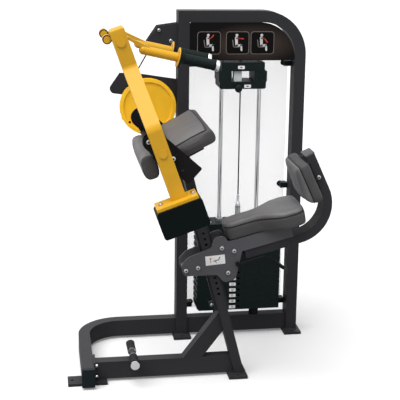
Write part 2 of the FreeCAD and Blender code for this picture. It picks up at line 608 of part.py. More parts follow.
TOP_TUBE_LOW = "tower_tall - tube_wide"
cheeks = []
for side, sign in (("near", "-1"), ("far", "1")):
    cheek_plane = f"{sign} * cheek_y"
    cheeks.append(slab(f"entry_cheek_{side}", WORLD,
                       [(TOWER_FACE, f"{PULLEY_Z} - 60"), (TOWER_FACE, f"{PULLEY_Z} + 77"),
                        ("pulley_x - 58", f"{PULLEY_Z} + 64", "5"),
                        ("pulley_x - 107", f"{PULLEY_Z} - 7", "10"),
                        ("pulley_x - 54", f"{PULLEY_Z} - 60", "20")],
                       cheek_plane, "cheek_thick", [("pulley_x", PULLEY_Z, "pin_radius")]))
    cheeks.append(slab(f"crown_cheek_{side}", WORLD,
                       [(f"{CROWN_X} - 18", f"{PULLEY_Z} - 18", "16"),
                        (f"{CROWN_X} + 18", f"{PULLEY_Z} - 18", "16"),
                        (f"{CROWN_X} + 34", TOP_TUBE_LOW), (f"{CROWN_X} - 34", TOP_TUBE_LOW)],
                       cheek_plane, "cheek_thick", [(CROWN_X, PULLEY_Z, "pin_radius")]))
ROD_BAR_LOW = f"({PULLEY_Z} - pulley_rim - rod_bar_gap - rod_bar_thick)"
INNER_BEND = "(tower_bend - tube_wide)"
BEND_SAG = (f"({INNER_BEND} - sqrt({INNER_BEND} * {INNER_BEND} - ({ROD_BAR_LOW} + rod_bar_thick"
            " - tower_tall + tower_bend) ^ 2))")
rod_bar = cut("rod_bar",
              block("rod_bar_flat", "tube_wide / 2", f"{UPRIGHT_X} - tube_wide / 2 - {BEND_SAG}",
                    "-tube_wide / 2", "tube_wide / 2", ROD_BAR_LOW,
                    f"{ROD_BAR_LOW} + rod_bar_thick"),
              [rod("rod_bar_hole", WORLD, "drop_x", f"{ROD_BAR_LOW} - 1", "0", "3 * cable_radius",
                   "rod_bar_thick + 2")])
sub_part(grouped("cheek_plates", cheeks + [rod_bar]), "pulley_brackets")


def pulley(name, centre_x):
    """A grooved cable wheel with a hub and a thinner web."""
    groove_floor = "pulley_groove - cable_radius - clearance"
    bore = "pin_radius + clearance"
    return turned(name, WORLD, centre_x, PULLEY_Z, "0",
                  [(bore, "-pulley_half"), ("pin_radius + 14", "-pulley_half"),
                   ("pin_radius + 14", "-pulley_half / 2"), ("pulley_groove - 10", "-pulley_half / 2"),
                   ("pulley_groove - 10", "-pulley_half + 3"), ("pulley_rim", "-pulley_half + 3"),
                   ("pulley_rim", "-cable_radius - 3"), (groove_floor, "-cable_radius - 0.5"),
                   (groove_floor, "cable_radius + 0.5"), ("pulley_rim", "cable_radius + 3"),
                   ("pulley_rim", "pulley_half - 3"), ("pulley_groove - 10", "pulley_half - 3"),
                   ("pulley_groove - 10", "pulley_half / 2"), ("pin_radius + 14", "pulley_half / 2"),
                   ("pin_radius + 14", "pulley_half"), (bore, "pulley_half")])


sub_part(pulley("pulley_entry", "pulley_x"), "entry_pulley")
sub_part(pulley("pulley_crown", CROWN_X), "crown_pulley")

CAM_FLOOR = "cam_groove - cable_radius - clearance"
wheel = turned("cam_disc", WORLD, CAM_X, CAM_Z, "0",
               [("0", "-cam_web"), ("cam_rim - 17", "-cam_web"), ("cam_rim - 15", "-cam_half"),
                ("cam_rim", "-cam_half"), ("cam_rim", "-cable_radius - 3"),
                (CAM_FLOOR, "-cable_radius - 0.5"), (CAM_FLOOR, "cable_radius + 0.5"),
                ("cam_rim", "cable_radius + 3"), ("cam_rim", "cam_half"),
                ("cam_rim - 15", "cam_half"), ("cam_rim - 17", "cam_web"), ("0", "cam_web")])
hub = disc("cam_boss", WORLD, "pivot_x", "pivot_z", "cam_hub", "0", "2 * cam_half + 8")
LUG_X = f"({CAM_X} + cam_groove * cos(cam_anchor))"
LUG_Z = f"({CAM_Z} + cam_groove * sin(cam_anchor))"
lug = disc("cam_lug", WORLD, LUG_X, LUG_Z, "lug_radius", "0", "2 * cam_half")
cam_holes = [disc("cam_axle_hole", WORLD, "pivot_x", "pivot_z", "axle_radius", "0", "60"),
             disc("cam_hole_high", WORLD, CAM_X + " + 6", CAM_Z + " + 12", "6", "0", "60"),
             disc("cam_hole_low", WORLD, CAM_X + " - 81", CAM_Z + " - 70", "6", "0", "60")]
sub_part(cut("cam", fused("cam_casting", [wheel, hub, lug]), cam_holes), "cam_wheel")


# ---------------------------------------------------------------- cable

SPAN_ACROSS = f"(pulley_x - {CAM_X})"
SPAN_RISE = f"({PULLEY_Z} - {CAM_Z})"
SPAN_LONG = f"sqrt({SPAN_ACROSS}^2 + {SPAN_RISE}^2)"
TANGENT = (f"(atan({SPAN_RISE} / {SPAN_ACROSS}) / 1 deg"
           f" + acos((cam_groove - pulley_groove) / {SPAN_LONG}) / 1 deg)")


def on_circle(centre_x, centre_z, radius, angle):
    """A point on a circle, as formulas."""
    return f"{centre_x} + ({radius}) * cos({angle})", f"{centre_z} + ({radius}) * sin({angle})"


def cable_corner(centre_x, centre_z, radius, first, last):
    """The corner whose rounding by the radius is the arc between two angles."""
    return on_circle(centre_x, centre_z, f"{radius} / cos((({first}) - ({last})) / 2)",
                     f"(({first}) + ({last})) / 2")


CAM_START = "(cam_anchor - 2 * asin((lug_radius + 0.1) / 2 / cam_groove) / 1 deg)"
sub_part(bent_rod("cable_on_cam", WORLD, "0",
                  [on_circle(CAM_X, CAM_Z, "cam_groove", CAM_START),
                   cable_corner(CAM_X, CAM_Z, "cam_groove", CAM_START, TANGENT),
                   on_circle(CAM_X, CAM_Z, "cam_groove", TANGENT)],
                  "cable_radius", ["cam_groove"]), "cable_on_cam")
sub_part(bent_rod("cable_cam_span", WORLD, "0",
                  [on_circle(CAM_X, CAM_Z, "cam_groove", TANGENT),
                   on_circle("pulley_x", PULLEY_Z, "pulley_groove", TANGENT)],
                  "cable_radius", []), "cable_cam_span")
sub_part(bent_rod("cable_upper_run", WORLD, "0",
                  [on_circle("pulley_x", PULLEY_Z, "pulley_groove", TANGENT),
                   cable_corner("pulley_x", PULLEY_Z, "pulley_groove", TANGENT, "90"),
                   ("drop_x", CABLE_Z), ("drop_x", PULLEY_Z)],
                  "cable_radius", ["pulley_groove", "pulley_groove"]), "cable_upper_run")
STACK_TOP = "(stack_low + plate_count * plate_pitch)"
FITTING_TOP = f"({STACK_TOP} + fitting_tall)"
sub_part(rod("stack_cable", WORLD, "drop_x", FITTING_TOP, "0", "cable_radius",
             f"{PULLEY_Z} - {FITTING_TOP}"), "cable_stack_drop")


# ---------------------------------------------------------------- weight stack

ROD_X = {"left": "drop_x - rod_spread", "right": "drop_x + rod_spread"}
sub_part(grouped("rods", [rod(f"guide_rod_{side}", WORLD, rod_x, RAIL_TOP, "0", "rod_radius",
                              f"{ROD_BAR_LOW} - ({RAIL_TOP})") for side, rod_x in ROD_X.items()]),
         "guide_rods")
sub_part(grouped("buffers", [plan(f"buffer_{side}", (rod_x, "0", "0"), None, "0", RAIL_TOP,
                                  f"stack_low - ({RAIL_TOP})",
                                  [("0", "0", "buffer_radius"), ("0", "0", "rod_radius")])
                             for side, rod_x in ROD_X.items()]), "stack_buffers")

BOTTOM_LIFTED = "plate_count - lifted_count"
PIN_Z = f"(stack_low + ({BOTTOM_LIFTED} + 0.5) * plate_pitch)"


def stack_plate(index):
    """One plate, counted from the bottom, with its rod holes, stem hole and pin hole."""
    low = f"stack_low + {index} * plate_pitch"
    high = f"{low} + plate_pitch - clearance"
    left = "drop_x - stack_wide / 2"
    right = "drop_x + stack_wide / 2"
    iron = slab(f"iron_{index}", WORLD,
                [(f"{left} + plate_chamfer", low), (right, low), (right, high), (left, high),
                 (left, f"{low} + plate_chamfer")], "0", "stack_deep")
    holes = [rod(f"iron_{index}_hole_{side}", WORLD, rod_x, low, "0", "rod_radius + 2 * clearance",
                 "plate_pitch") for side, rod_x in ROD_X.items()]
    holes.append(rod(f"iron_{index}_stem_hole", WORLD, "drop_x", low, "0",
                     "stem_radius + 2 * clearance", "plate_pitch"))
    holes.append(disc(f"iron_{index}_pin_hole", WORLD, "drop_x", f"{low} + plate_pitch / 2",
                      "selector_radius + 2 * clearance", "-stack_deep / 4", "stack_deep / 2 + 1"))
    return cut(f"weight_{index + 1}", iron, holes)


resting = SIZES["plate_count"] - SIZES["lifted_count"]
weights = [stack_plate(index) for index in range(SIZES["plate_count"])]
sub_part(grouped("resting", weights[:resting]), "resting_plates")
sub_part(grouped("lifted", weights[resting:]), "lifted_plates")

STACK_FACE = f"({STACK_TOP} - clearance)"
stem = rod("stem_bar", WORLD, "drop_x", "stack_low + 5", "0", "stem_radius",
           f"{STACK_FACE} - stack_low - 5")
fitting = rod("stem_fitting", WORLD, "drop_x", STACK_FACE, "0", "fitting_radius",
              "fitting_tall + clearance")
stem_hole = disc("stem_pin_hole", WORLD, "drop_x", PIN_Z, "selector_radius + clearance", "0", "60")
collars = [plan(f"rod_collar_{side}", (rod_x, "0", "0"), None, "0", STACK_FACE, "collar_tall",
                [("0", "0", "collar_radius"), ("0", "0", "rod_radius + 2 * clearance")])
           for side, rod_x in ROD_X.items()]
sub_part(grouped("stem", [cut("stem_drilled", fused("stem_welded", [stem, fitting]), [stem_hole])]
                 + collars), "selector_stem")

STACK_FRONT = "-stack_deep / 2"
PIN_END = "(stem_radius - selector_radius / 2)"
pin_shaft = disc("pin_shaft", WORLD, "drop_x", PIN_Z, "selector_radius",
                 f"({STACK_FRONT} - selector_out + {PIN_END}) / 2",
                 f"stack_deep / 2 + selector_out + {PIN_END}")
pin_knob = disc("pin_knob", WORLD, "drop_x", PIN_Z, "knob_radius",
                f"{STACK_FRONT} - clearance - selector_out / 2", "selector_out")
sub_part(fused("pin", [pin_shaft, pin_knob]), "selector_pin")


# ---------------------------------------------------------------- add-on weights

ADD_ON_LOW = "(tower_tall - add_on_hang)"
ADD_ON_STEP = f"({ADD_ON_LOW} + add_on_base)"
ADD_ON_TOP = f"({ADD_ON_STEP} + add_on_block)"


def bored(name, iron, low, high):
    """A weight with clearance holes for the guide rods and the cable."""
    tools = [rod(f"{name}_hole_{side}", WORLD, rod_x, f"{low} - 1", "0", "rod_radius + 2 * clearance",
                 f"({high}) - ({low}) + 2") for side, rod_x in ROD_X.items()]
    tools.append(rod(f"{name}_cable_hole", WORLD, "drop_x", f"{low} - 1", "0", "3 * cable_radius",
                     f"({high}) - ({low}) + 2"))
    return cut(name, iron, tools)


def iron_block(name, left, right, low, high):
    """A block as deep as the weight stack."""
    return block(name, left, right, STACK_FRONT, "stack_deep / 2", low, high)


BASE_LEFT = "add_on_left + add_on_step"
BASE_RIGHT = "add_on_right - add_on_step"
lower_iron = fused("add_on_casting", [
    slab("add_on_plate", WORLD, [(BASE_LEFT, ADD_ON_LOW, "9"), (BASE_RIGHT, ADD_ON_LOW, "9"),
                                 (BASE_RIGHT, ADD_ON_STEP), (BASE_LEFT, ADD_ON_STEP)],
         "0", "stack_deep"),
    iron_block("add_on_left_block", "add_on_left", "window_left", ADD_ON_STEP, ADD_ON_TOP),
    iron_block("add_on_right_block", "window_right", "add_on_right", ADD_ON_STEP, ADD_ON_TOP)])
sub_part(bored("lower_add_on", lower_iron, ADD_ON_LOW, ADD_ON_TOP), "lower_add_on_weight")
upper_iron = iron_block("add_on_upper_plate", "add_on_left + add_on_inset",
                        "add_on_right - add_on_inset", ADD_ON_TOP,
                        f"{ADD_ON_TOP} + add_on_upper")
sub_part(bored("upper_add_on", upper_iron, ADD_ON_TOP, f"{ADD_ON_TOP} + add_on_upper"),
         "upper_add_on_weight")
KNOB_Z = f"{ADD_ON_LOW} + knob_rise"
sub_part(fused("latch", [
    disc("knob_head", WORLD, "knob_x", KNOB_Z, "8", f"{STACK_FRONT} - clearance - 9", "10"),
    disc("knob_stalk", WORLD, "knob_x", KNOB_Z, "4", f"{STACK_FRONT} - clearance - 2.5", "5")]),
    "add_on_knob")


# ---------------------------------------------------------------- placard and shroud

PLACARD_FRONT = "placard_y - sheet_thick / 2"
PLACARD_LOW = f"({TOP_TUBE_LOW} - placard_tall)"
PLACARD_HIGH = f"({TOP_TUBE_LOW} - clearance)"
PLACARD_LEFT = "(tube_wide / 2 + clearance)"
PLACARD_RIGHT = f"({UPRIGHT_X} - tube_wide / 2 - clearance)"
front_sheet = slab("placard_sheet", WORLD,
                   [(PLACARD_LEFT, PLACARD_LOW, "6"), (PLACARD_RIGHT, PLACARD_LOW, "6"),
                    (PLACARD_RIGHT, PLACARD_HIGH, "placard_bend"),
                    (PLACARD_LEFT, PLACARD_HIGH, "6")], "placard_y", "sheet_thick")
lip = block("placard_lip", f"{PLACARD_LEFT} + 10", f"{PLACARD_RIGHT} - placard_bend - 20",
            PLACARD_FRONT, f"{PLACARD_FRONT} + sheet_thick + lip_deep",
            f"{PLACARD_HIGH} - sheet_thick", PLACARD_HIGH)
sub_part(fused("placard", [front_sheet, lip]), "placard_panel")

SHROUD_FACE = "(stack_deep / 2 + shroud_gap)"
SHROUD_HIGH = "(tower_tall - shroud_drop)"
CLIP_REACH = "clip_share * (drop_x - stack_wide / 2 - tube_wide / 2)"
sub_part(slab("back_sheet", WORLD, rectangle("shroud_left", "shroud_right", "shroud_low",
                                             SHROUD_HIGH),
              f"{SHROUD_FACE} + sheet_thick / 2", "sheet_thick"), "rear_shroud")
clips = []
for level, clip_z in (("low", "shroud_low + 30"), ("middle", f"(shroud_low + {SHROUD_HIGH}) / 2"),
                      ("high", f"{SHROUD_HIGH} - 30")):
    for side, clip_left, clip_right in (("left", "tube_wide / 2", f"tube_wide / 2 + {CLIP_REACH}"),
                                        ("right", f"{UPRIGHT_X} - tube_wide / 2 - {CLIP_REACH}",
                                         f"{UPRIGHT_X} - tube_wide / 2")):
        clips.append(block(f"clip_{level}_{side}", clip_left, clip_right,
                           "tube_deep / 2 - 14", SHROUD_FACE,
                           f"{clip_z} - clip_tall / 2", f"{clip_z} + clip_tall / 2"))
sub_part(grouped("clips", clips), "shroud_clips")


# ---------------------------------------------------------------- swinging arm

HALF_TUBE = "arm_tube / 2"
KINK_SHIFT = f"({HALF_TUBE} * tan(atan((arm_upper_y - arm_y) / (arm_join - arm_kink)) / 2))"


def arm_outline(inset):
    """The cranked arm seen along X, with its faces moved inwards by an inset."""
    reach = f"({HALF_TUBE} - {inset})"
    shift = f"({KINK_SHIFT} * {reach} / ({HALF_TUBE}))"
    return [(f"arm_y - {reach}", f"arm_low + {inset}"), (f"arm_y + {reach}", f"arm_low + {inset}"),
            (f"arm_y + {reach}", f"arm_kink - {shift}", f"30 + {inset}"),
            (f"arm_upper_y + {reach}", f"arm_join - {shift}", f"60 - {inset}"),
            (f"arm_upper_y + {reach}", f"arm_top - {inset}", f"10 - {inset}"),
            (f"arm_upper_y - {reach}", f"arm_top - {inset}", f"10 - {inset}"),
            (f"arm_upper_y - {reach}", f"arm_join + {shift}", f"30 + {inset}"),
            (f"arm_y - {reach}", f"arm_kink + {shift}", f"60 - {inset}")]


def arm_form(name, inset):
    """The cranked arm with its two upper corners rounded, moved inwards by an inset."""
    crank = padded(f"{name}_crank", "YZ_Plane", arm_outline(inset), f"arm_tube - 2 * {inset}")
    place(crank, ARM)
    reach = f"({HALF_TUBE} - {inset})"
    low = f"arm_low + {inset}"
    high = f"arm_top - {inset}"
    front = slab(f"{name}_front", ARM, [(f"-{reach}", low), (reach, low), (reach, high, "arm_round"),
                                        (f"-{reach}", high, "arm_round")],
                 "(arm_y + arm_upper_y) / 2", "arm_upper_y - arm_y + 2 * arm_tube")
    return common(name, [crank, front])


sub_part(fused("arm_welded", [
    cut("arm_bar", arm_form("arm_skin", "0"), [arm_form("arm_core", "tube_wall")]),
    disc("pivot_boss", ARM, "0", "0", "boss_radius", f"arm_y - {HALF_TUBE} - boss_tall / 2",
         "boss_tall"),
    disc("grip_boss", ARM, "0", "grip_axis", "boss_radius",
         f"arm_upper_y - {HALF_TUBE} - boss_tall / 2", "boss_tall")]), "arm_tube")

AXLE_NEAR = f"arm_y + {HALF_TUBE}"
AXLE_FAR = f"({TOWER_BEARING_Y} + bearing_thick / 2)"
elbow_axle = disc("elbow_axle", WORLD, "pivot_x", "pivot_z", "axle_radius",
                  f"({AXLE_NEAR} + {AXLE_FAR}) / 2", f"{AXLE_FAR} - ({AXLE_NEAR})")

WEIGHT_Y = "(weight_near + weight_far) / 2"
WEIGHT_DEEP = "(weight_far - weight_near)"
FLANGE_LOW = "(arm_low - arm_flange)"
sub_part(slab("weight_flange", ARM, rectangle("flange_left", "flange_right", FLANGE_LOW, "arm_low"),
              f"{WEIGHT_Y} + 5", f"{WEIGHT_DEEP} - 16"), "counterweight_flange")
sub_part(slab("arm_weight", ARM, rectangle("flange_left - weight_overhang",
                                           "flange_right + weight_overhang",
                                           f"{FLANGE_LOW} - weight_tall", FLANGE_LOW, "12"),
              WEIGHT_Y, WEIGHT_DEEP), "counterweight")
sub_part(grouped("flange_bolts", [
    rod("flange_bolt_left", ARM, "flange_left + 22", "arm_low", WEIGHT_Y, "bolt_radius", "bolt_tall"),
    rod("flange_bolt_right", ARM, "flange_right - 14", "arm_low", WEIGHT_Y, "bolt_radius",
        "bolt_tall")]), "arm_bolts")

NEAR_HANDLE_Y = "(middle_y - handle_spread)"
FAR_HANDLE_Y = "(middle_y + handle_spread)"
GRIP_AXLE_NEAR = f"(arm_upper_y + {HALF_TUBE})"
GRIP_AXLE_FAR = f"({FAR_HANDLE_Y} + handle_hub + 4)"
grip_axle = disc("grip_axle", ARM, "0", "grip_axis", "grip_axle_radius",
                 f"({GRIP_AXLE_NEAR} + {GRIP_AXLE_FAR}) / 2", f"{GRIP_AXLE_FAR} - {GRIP_AXLE_NEAR}")
sub_part(grouped("axles", [elbow_axle, grip_axle]), "arm_axles")


def handle(side, plane):
    """One swivelling handle: hub, strap, tube, grip with its guard, end ring and balance stub."""
    drop = "handle_drop"
    strap = slab(f"{side}_strap", HANDLE,
                 [("-6", "8"), ("0", "handle_hub + 4", "6"), ("30", "20", "20"),
                  ("handle_start + 22", f"{drop} + handle_tube - 1"),
                  ("handle_start + 4", f"{drop} + 4"), ("26", "11", "10")], plane, "20")
    link = slab(f"{side}_link", HANDLE, rectangle("balance_at", "0", "-10", "6"), plane, "12")
    tools = [disc(f"{side}_axle_hole", HANDLE, "0", "0", "grip_axle_radius + clearance", plane, "60")]
    pieces = [disc(f"{side}_hub", HANDLE, "0", "0", "handle_hub", plane, "2 * handle_hub"), strap, link,
              disc(f"{side}_balance", HANDLE, "balance_at", "balance_drop", "balance_radius", plane,
                   "balance_long"),
              rod(f"{side}_tube", HANDLE, "handle_start", drop, plane, "handle_tube",
                  "guard_at - handle_start", "90"),
              ball(f"{side}_tube_end", HANDLE, "handle_start", drop, plane, "handle_tube")]
    sub_part(cut(f"{side}_lever_body", fused(f"{side}_lever", pieces), tools), f"{side}_handle")
    sleeve = rod(f"{side}_sleeve", HANDLE, "guard_at", drop, plane, "grip_radius", "grip_long", "90")
    guard = rod(f"{side}_guard", HANDLE, "guard_at", drop, plane, "guard_radius", "guard_thick", "90")
    sub_part(fused(f"{side}_grip", [sleeve, guard]), f"{side}_handle_grip")
    sub_part(rod(f"{side}_ring", HANDLE, "guard_at + grip_long", drop, plane, "ring_radius",
                 "ring_long", "90"), f"{side}_handle_ring")


handle("near", NEAR_HANDLE_Y)
handle("far", FAR_HANDLE_Y)


# ---------------------------------------------------------------- seat carriage

HALF_SEAT_TUBE = "seat_tube / 2"
PLATE_INNER = "(side_plate_spread - plate_thick / 2)"
TUBE_TOP = f"(seat_line + {HALF_SEAT_TUBE})"
LOBE = "roller_reach"
side_corners = [("-128", "498", "24"), ("12", "463", "16"), ("33", "421", "22"), ("82", "421", "24"),
                (f"82 + ({TUBE_TOP} - 421) / 2", TUBE_TOP), ("seat_wedge_end", TUBE_TOP),
                ("seat_wedge_end", "seat_level", "8"), ("seat_front + 4", "seat_level", "4"),
                ("seat_front - 8", "620", "20"), ("35", "620", "20"), ("16", "583", "14"),
                ("-84", "571", "12"), ("-119", "549", "18")]
side_plates = [slab(f"side_plate_{side}", POST, side_corners,
                    f"middle_y + {sign} * side_plate_spread", "plate_thick")
               for side, sign in (("near", "-1"), ("far", "1"))]
sub_part(grouped("side_plates", side_plates), "carriage_plates")

ROLLERS = {"left": (f"-{LOBE}", "roller_left_z"), "upper": (LOBE, "roller_upper_z"),
           "lower": (LOBE, "roller_lower_z")}
SPACERS = {"left": ("spacer_left_x", "spacer_left_z"), "right": ("spacer_right_x", "spacer_right_z")}
HEAD_PLANE = "side_plate_spread + plate_thick / 2 + bolt_tall / 2"
fasteners = []
for spot, (across, up) in list(ROLLERS.items()) + list(SPACERS.items()):
    shaft = "bolt_shaft" if spot in ("upper", "lower") or across.startswith("-") else "spacer_radius"
    fasteners.append(disc(f"shaft_{spot}_{across[:6].strip('-_')}", POST, across, up, shaft,
                          "middle_y", f"2 * {PLATE_INNER}"))
    for side, sign in (("near", "-1"), ("far", "1")):
        fasteners.append(disc(f"head_{side}_{spot}", POST, across, up, "bolt_radius",
                              f"middle_y + {sign} * ({HEAD_PLANE})", "bolt_tall"))
fasteners += [rod(f"seat_bolt_{index}", POST, across, f"seat_line - {HALF_SEAT_TUBE} - bolt_tall",
                  "middle_y", "bolt_radius", "bolt_tall")
              for index, across in enumerate(("seat_front + 106", "seat_front + 246"))]
fasteners.append(disc("tube_bolt", POST, f"{UPPER_RUN_X} + 4", f"{UPPER_RUN_Z} + 66", "bolt_radius",
                      f"middle_y - {PLATE_INNER} - bolt_tall / 2", "bolt_tall"))
sub_part(grouped("fasteners", fasteners), "carriage_bolts")

for spot, (across, up) in ROLLERS.items():
    outer = f"{LOBE} - {RAIL_REACH} - clearance"
    sub_part(turned(f"roller_body_{spot}", POST, across, up, "middle_y",
                    [("bolt_shaft + clearance", "-roller_half"), (f"{outer} - 3", "-roller_half"),
                     (outer, "-roller_half + 3"), (outer, "roller_half - 3"),
                     (f"{outer} - 3", "roller_half"), ("bolt_shaft + clearance", "roller_half")]),
             f"{spot}_roller")


def along_bend(offset, length):
    """A point beside the seat tube's upper run: offset from the bend's centre, then along."""
    across = f"seat_bend_x + ({offset}) * sin(seat_turn) + ({length}) * cos(seat_turn)"
    up = f"seat_line + seat_bend - ({offset}) * cos(seat_turn) + ({length}) * sin(seat_turn)"
    return across, up


def seat_outline(half, overrun):
    """The bent seat tube seen along Y: straight, one large bend, straight up the back."""
    outer = f"(seat_bend + {half})"
    inner = f"(seat_bend - ({half}))"
    corner = "tan(seat_turn / 2)"
    return [(f"seat_start - {overrun}", f"seat_line - ({half})"),
            (f"seat_bend_x + {outer} * {corner}", f"seat_line - ({half})", outer),
            along_bend(outer, f"seat_rise + {overrun}"), along_bend(inner, f"seat_rise + {overrun}"),
            (f"seat_bend_x + {inner} * {corner}", f"seat_line + {half}", inner),
            (f"seat_start - {overrun}", f"seat_line + {half}")]


SEAT_TUBE_DEEP = f"2 * {PLATE_INNER}"
seat_skin = slab("seat_skin", POST, seat_outline(HALF_SEAT_TUBE, "0"), "middle_y", SEAT_TUBE_DEEP)
seat_core = slab("seat_core", POST, seat_outline(f"{HALF_SEAT_TUBE} - tube_wall", "1"), "middle_y",
                 f"{SEAT_TUBE_DEEP} - 2 * tube_wall")
sub_part(cut("seat_bar", seat_skin, [seat_core]), "seat_tube")
CAP_OUTER = f"seat_bend + {HALF_SEAT_TUBE} + 1"
CAP_INNER = f"seat_bend - {HALF_SEAT_TUBE} - 1"
cap_outline = [along_bend(CAP_OUTER, "seat_rise"), along_bend(CAP_OUTER, "seat_rise + seat_cap"),
               along_bend(CAP_INNER, "seat_rise + seat_cap"), along_bend(CAP_INNER, "seat_rise")]
sub_part(slab("tube_cap", POST, cap_outline, "middle_y", f"{SEAT_TUBE_DEEP} + 2"), "seat_tube_cap")

seat_corners = [("seat_front", "-horn_half", "40"), ("seat_front + 147", "-horn_half", "60"),
                ("seat_front + 237", "-seat_half", "60"), ("seat_back", "-seat_half", "45"),
                ("seat_back", "seat_half", "45"), ("seat_front + 237", "seat_half", "60"),
                ("seat_front + 147", "horn_half", "60"), ("seat_front", "horn_half", "40")]
cushion = plan("seat_cushion", POST, seat_corners, "middle_y", "seat_level", "seat_thick")
sub_part(cushion, "seat_pad")

sub_part(slab("back_board_sheet", BACK, rectangle("-back_board", "0", "30", "150"), "middle_y",
              "2 * back_half - 60"), "back_pad_board")
BACK_FACE = "-back_board - back_thick"
sub_part(slab("back_cushion", BACK, [("-back_board", "back_low"), ("-back_board", "back_high", "10"),
                                     (BACK_FACE, "back_high", "16"), (BACK_FACE + " - 6", "12", "14"),
                                     ("-back_board - 40", "back_low", "8")], "middle_y",
              "2 * back_half"), "back_pad")


# ---------------------------------------------------------------- release lever

LEVER_Y = f"(middle_y - side_plate_spread - plate_thick / 2 - clearance - lever_gap)"
lever_rod = bent_rod("lever_bar", POST, LEVER_Y,
                     [("lever_x", "lever_z"), ("lever_bend_x", "lever_bend_z"),
                      ("lever_end_x", "lever_end_z")], "lever_radius", ["30"])
lever_boss = disc("lever_boss", POST, "lever_x", "lever_z", "bolt_radius",
                  f"{LEVER_Y} + lever_gap / 2 - 3", "lever_gap + 6")
LEVER_TURN = "(90 + atan((lever_bend_z - lever_end_z) / (lever_end_x - lever_bend_x)) / 1 deg)"
GRIP_BACK = f"lever_grip_long * sin({LEVER_TURN})"
lever_grip = rod("lever_grip_bar", POST, f"lever_end_x - {GRIP_BACK}",
                 f"lever_end_z - lever_grip_long * cos({LEVER_TURN})", LEVER_Y, "lever_grip",
                 "lever_grip_long", LEVER_TURN)
sub_part(fused("lever", [lever_rod, lever_boss, lever_grip]), "release_lever")


# ---------------------------------------------------------------- fixed bolts and pins

bolts = []
for side, plane in (("near", f"middle_y - {BEARING_Y} - bearing_thick / 2 - bolt_tall / 2"),
                    ("far", f"middle_y + {BEARING_Y} + bearing_thick / 2 + bolt_tall / 2")):
    bolts += [disc(f"bearing_bolt_{side}_{index}", BEARING, f"{sign} * bearing_bolt", "0",
                   "bolt_radius", plane, "bolt_tall") for index, sign in enumerate(("-1", "1"))]
PIN_LONG = "2 * cheek_y + cheek_thick + 8"
bolts += [disc("entry_pin", WORLD, "pulley_x", PULLEY_Z, "pin_radius", "0", PIN_LONG),
          disc("crown_pin", WORLD, CROWN_X, PULLEY_Z, "pin_radius", "0", PIN_LONG),
          disc("cheek_bolt", WORLD, "pulley_x - 52", f"{PULLEY_Z} + 47", "7",
               "-cheek_y - cheek_thick / 2 - 3", "6")]
bolts += [disc(f"stop_bolt_{level}", POST, f"{sign} * ({RAIL_REACH} + stop_block / 2)", stop_z, "7",
               "middle_y - rail_deep / 2 - 3", "6")
          for level, sign, stop_z in (("high", "1", "stop_high"), ("low", "-1", "stop_low"))]
for row_name, bolt_z in (("low", "foot_thick + 18"), ("high", f"{RAIL_TOP} - 10")):
    for side, sign in (("near", "-1"), ("far", "1")):
        bolts.append(rod(f"beam_bolt_{row_name}_{side}", WORLD, BEAM_X, bolt_z,
                         f"middle_y + {sign} * (tube_wide / 2 + flange_margin / 2)", "7", "6", "90"))
sub_part(grouped("bolts", bolts), "frame_bolts")


# ---------------------------------------------------------------- checks and files

doc.recompute()
for item in doc.Objects:
    if "Invalid" in item.State or "Error" in item.State:
        raise RuntimeError(f"{item.Name} did not build: {item.State}")
for item in SUB_PARTS:
    if item.Shape.isNull() or not item.Shape.isValid():
        raise RuntimeError(f"{item.Label} has no valid shape")
os.makedirs("parts", exist_ok=True)
for item in SUB_PARTS:
    item.Shape.exportStep(f"parts/{item.Label}.step")
print(len(SUB_PARTS), "sub-parts written")
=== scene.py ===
import json
import math

import bmesh
import bpy
from bpy.props import FloatProperty, FloatVectorProperty, IntProperty, PointerProperty
from mathutils import Matrix, Vector


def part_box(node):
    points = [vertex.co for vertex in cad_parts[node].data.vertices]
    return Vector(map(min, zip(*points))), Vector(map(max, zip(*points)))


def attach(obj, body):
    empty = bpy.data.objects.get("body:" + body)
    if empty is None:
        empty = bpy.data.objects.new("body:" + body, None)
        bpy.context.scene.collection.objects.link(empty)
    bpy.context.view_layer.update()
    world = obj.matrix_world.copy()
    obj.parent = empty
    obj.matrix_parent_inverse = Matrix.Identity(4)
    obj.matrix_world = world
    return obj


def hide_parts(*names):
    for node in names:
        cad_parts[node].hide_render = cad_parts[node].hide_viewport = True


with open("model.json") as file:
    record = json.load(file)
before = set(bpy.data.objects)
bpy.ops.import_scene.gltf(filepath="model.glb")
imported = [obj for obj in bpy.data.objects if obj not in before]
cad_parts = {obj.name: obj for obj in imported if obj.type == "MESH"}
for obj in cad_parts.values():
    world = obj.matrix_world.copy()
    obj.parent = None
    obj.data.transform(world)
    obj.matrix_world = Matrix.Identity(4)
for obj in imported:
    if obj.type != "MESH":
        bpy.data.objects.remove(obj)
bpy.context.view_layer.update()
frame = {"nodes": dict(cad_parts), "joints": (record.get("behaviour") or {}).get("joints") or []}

bl_info = {
    "name": "Triceps Extension Machine Dresser",
    "version": (1, 0, 0),
    "blender": (4, 5, 0),
    "location": "View3D > Sidebar > Machine",
    "description": "Finishes a seated triceps extension machine with pads, trim and materials",
    "category": "Object",
}

NODES = frame["nodes"]
JOINTS = {joint["name"]: joint for joint in frame["joints"]}
PIVOT = Vector(JOINTS["arm_swing"]["pos_m"])
POST_UP = Vector(JOINTS["seat_height"]["axis"]).normalized()
MIDDLE_Y = PIVOT.y
X_AXIS = Vector((1.0, 0.0, 0.0))
Y_AXIS = Vector((0.0, 1.0, 0.0))


# ---------------------------------------------------------------- sizes and colours

def metres(name, description, default):
    """A length."""
    return FloatProperty(name=name, description=description, default=default, unit="LENGTH")


def degrees(name, description, default):
    """An angle, given in degrees."""
    return FloatProperty(name=name, description=description, default=math.radians(default),
                         subtype="ANGLE")


def plain(name, description, default):
    """A number without a unit."""
    return FloatProperty(name=name, description=description, default=default)


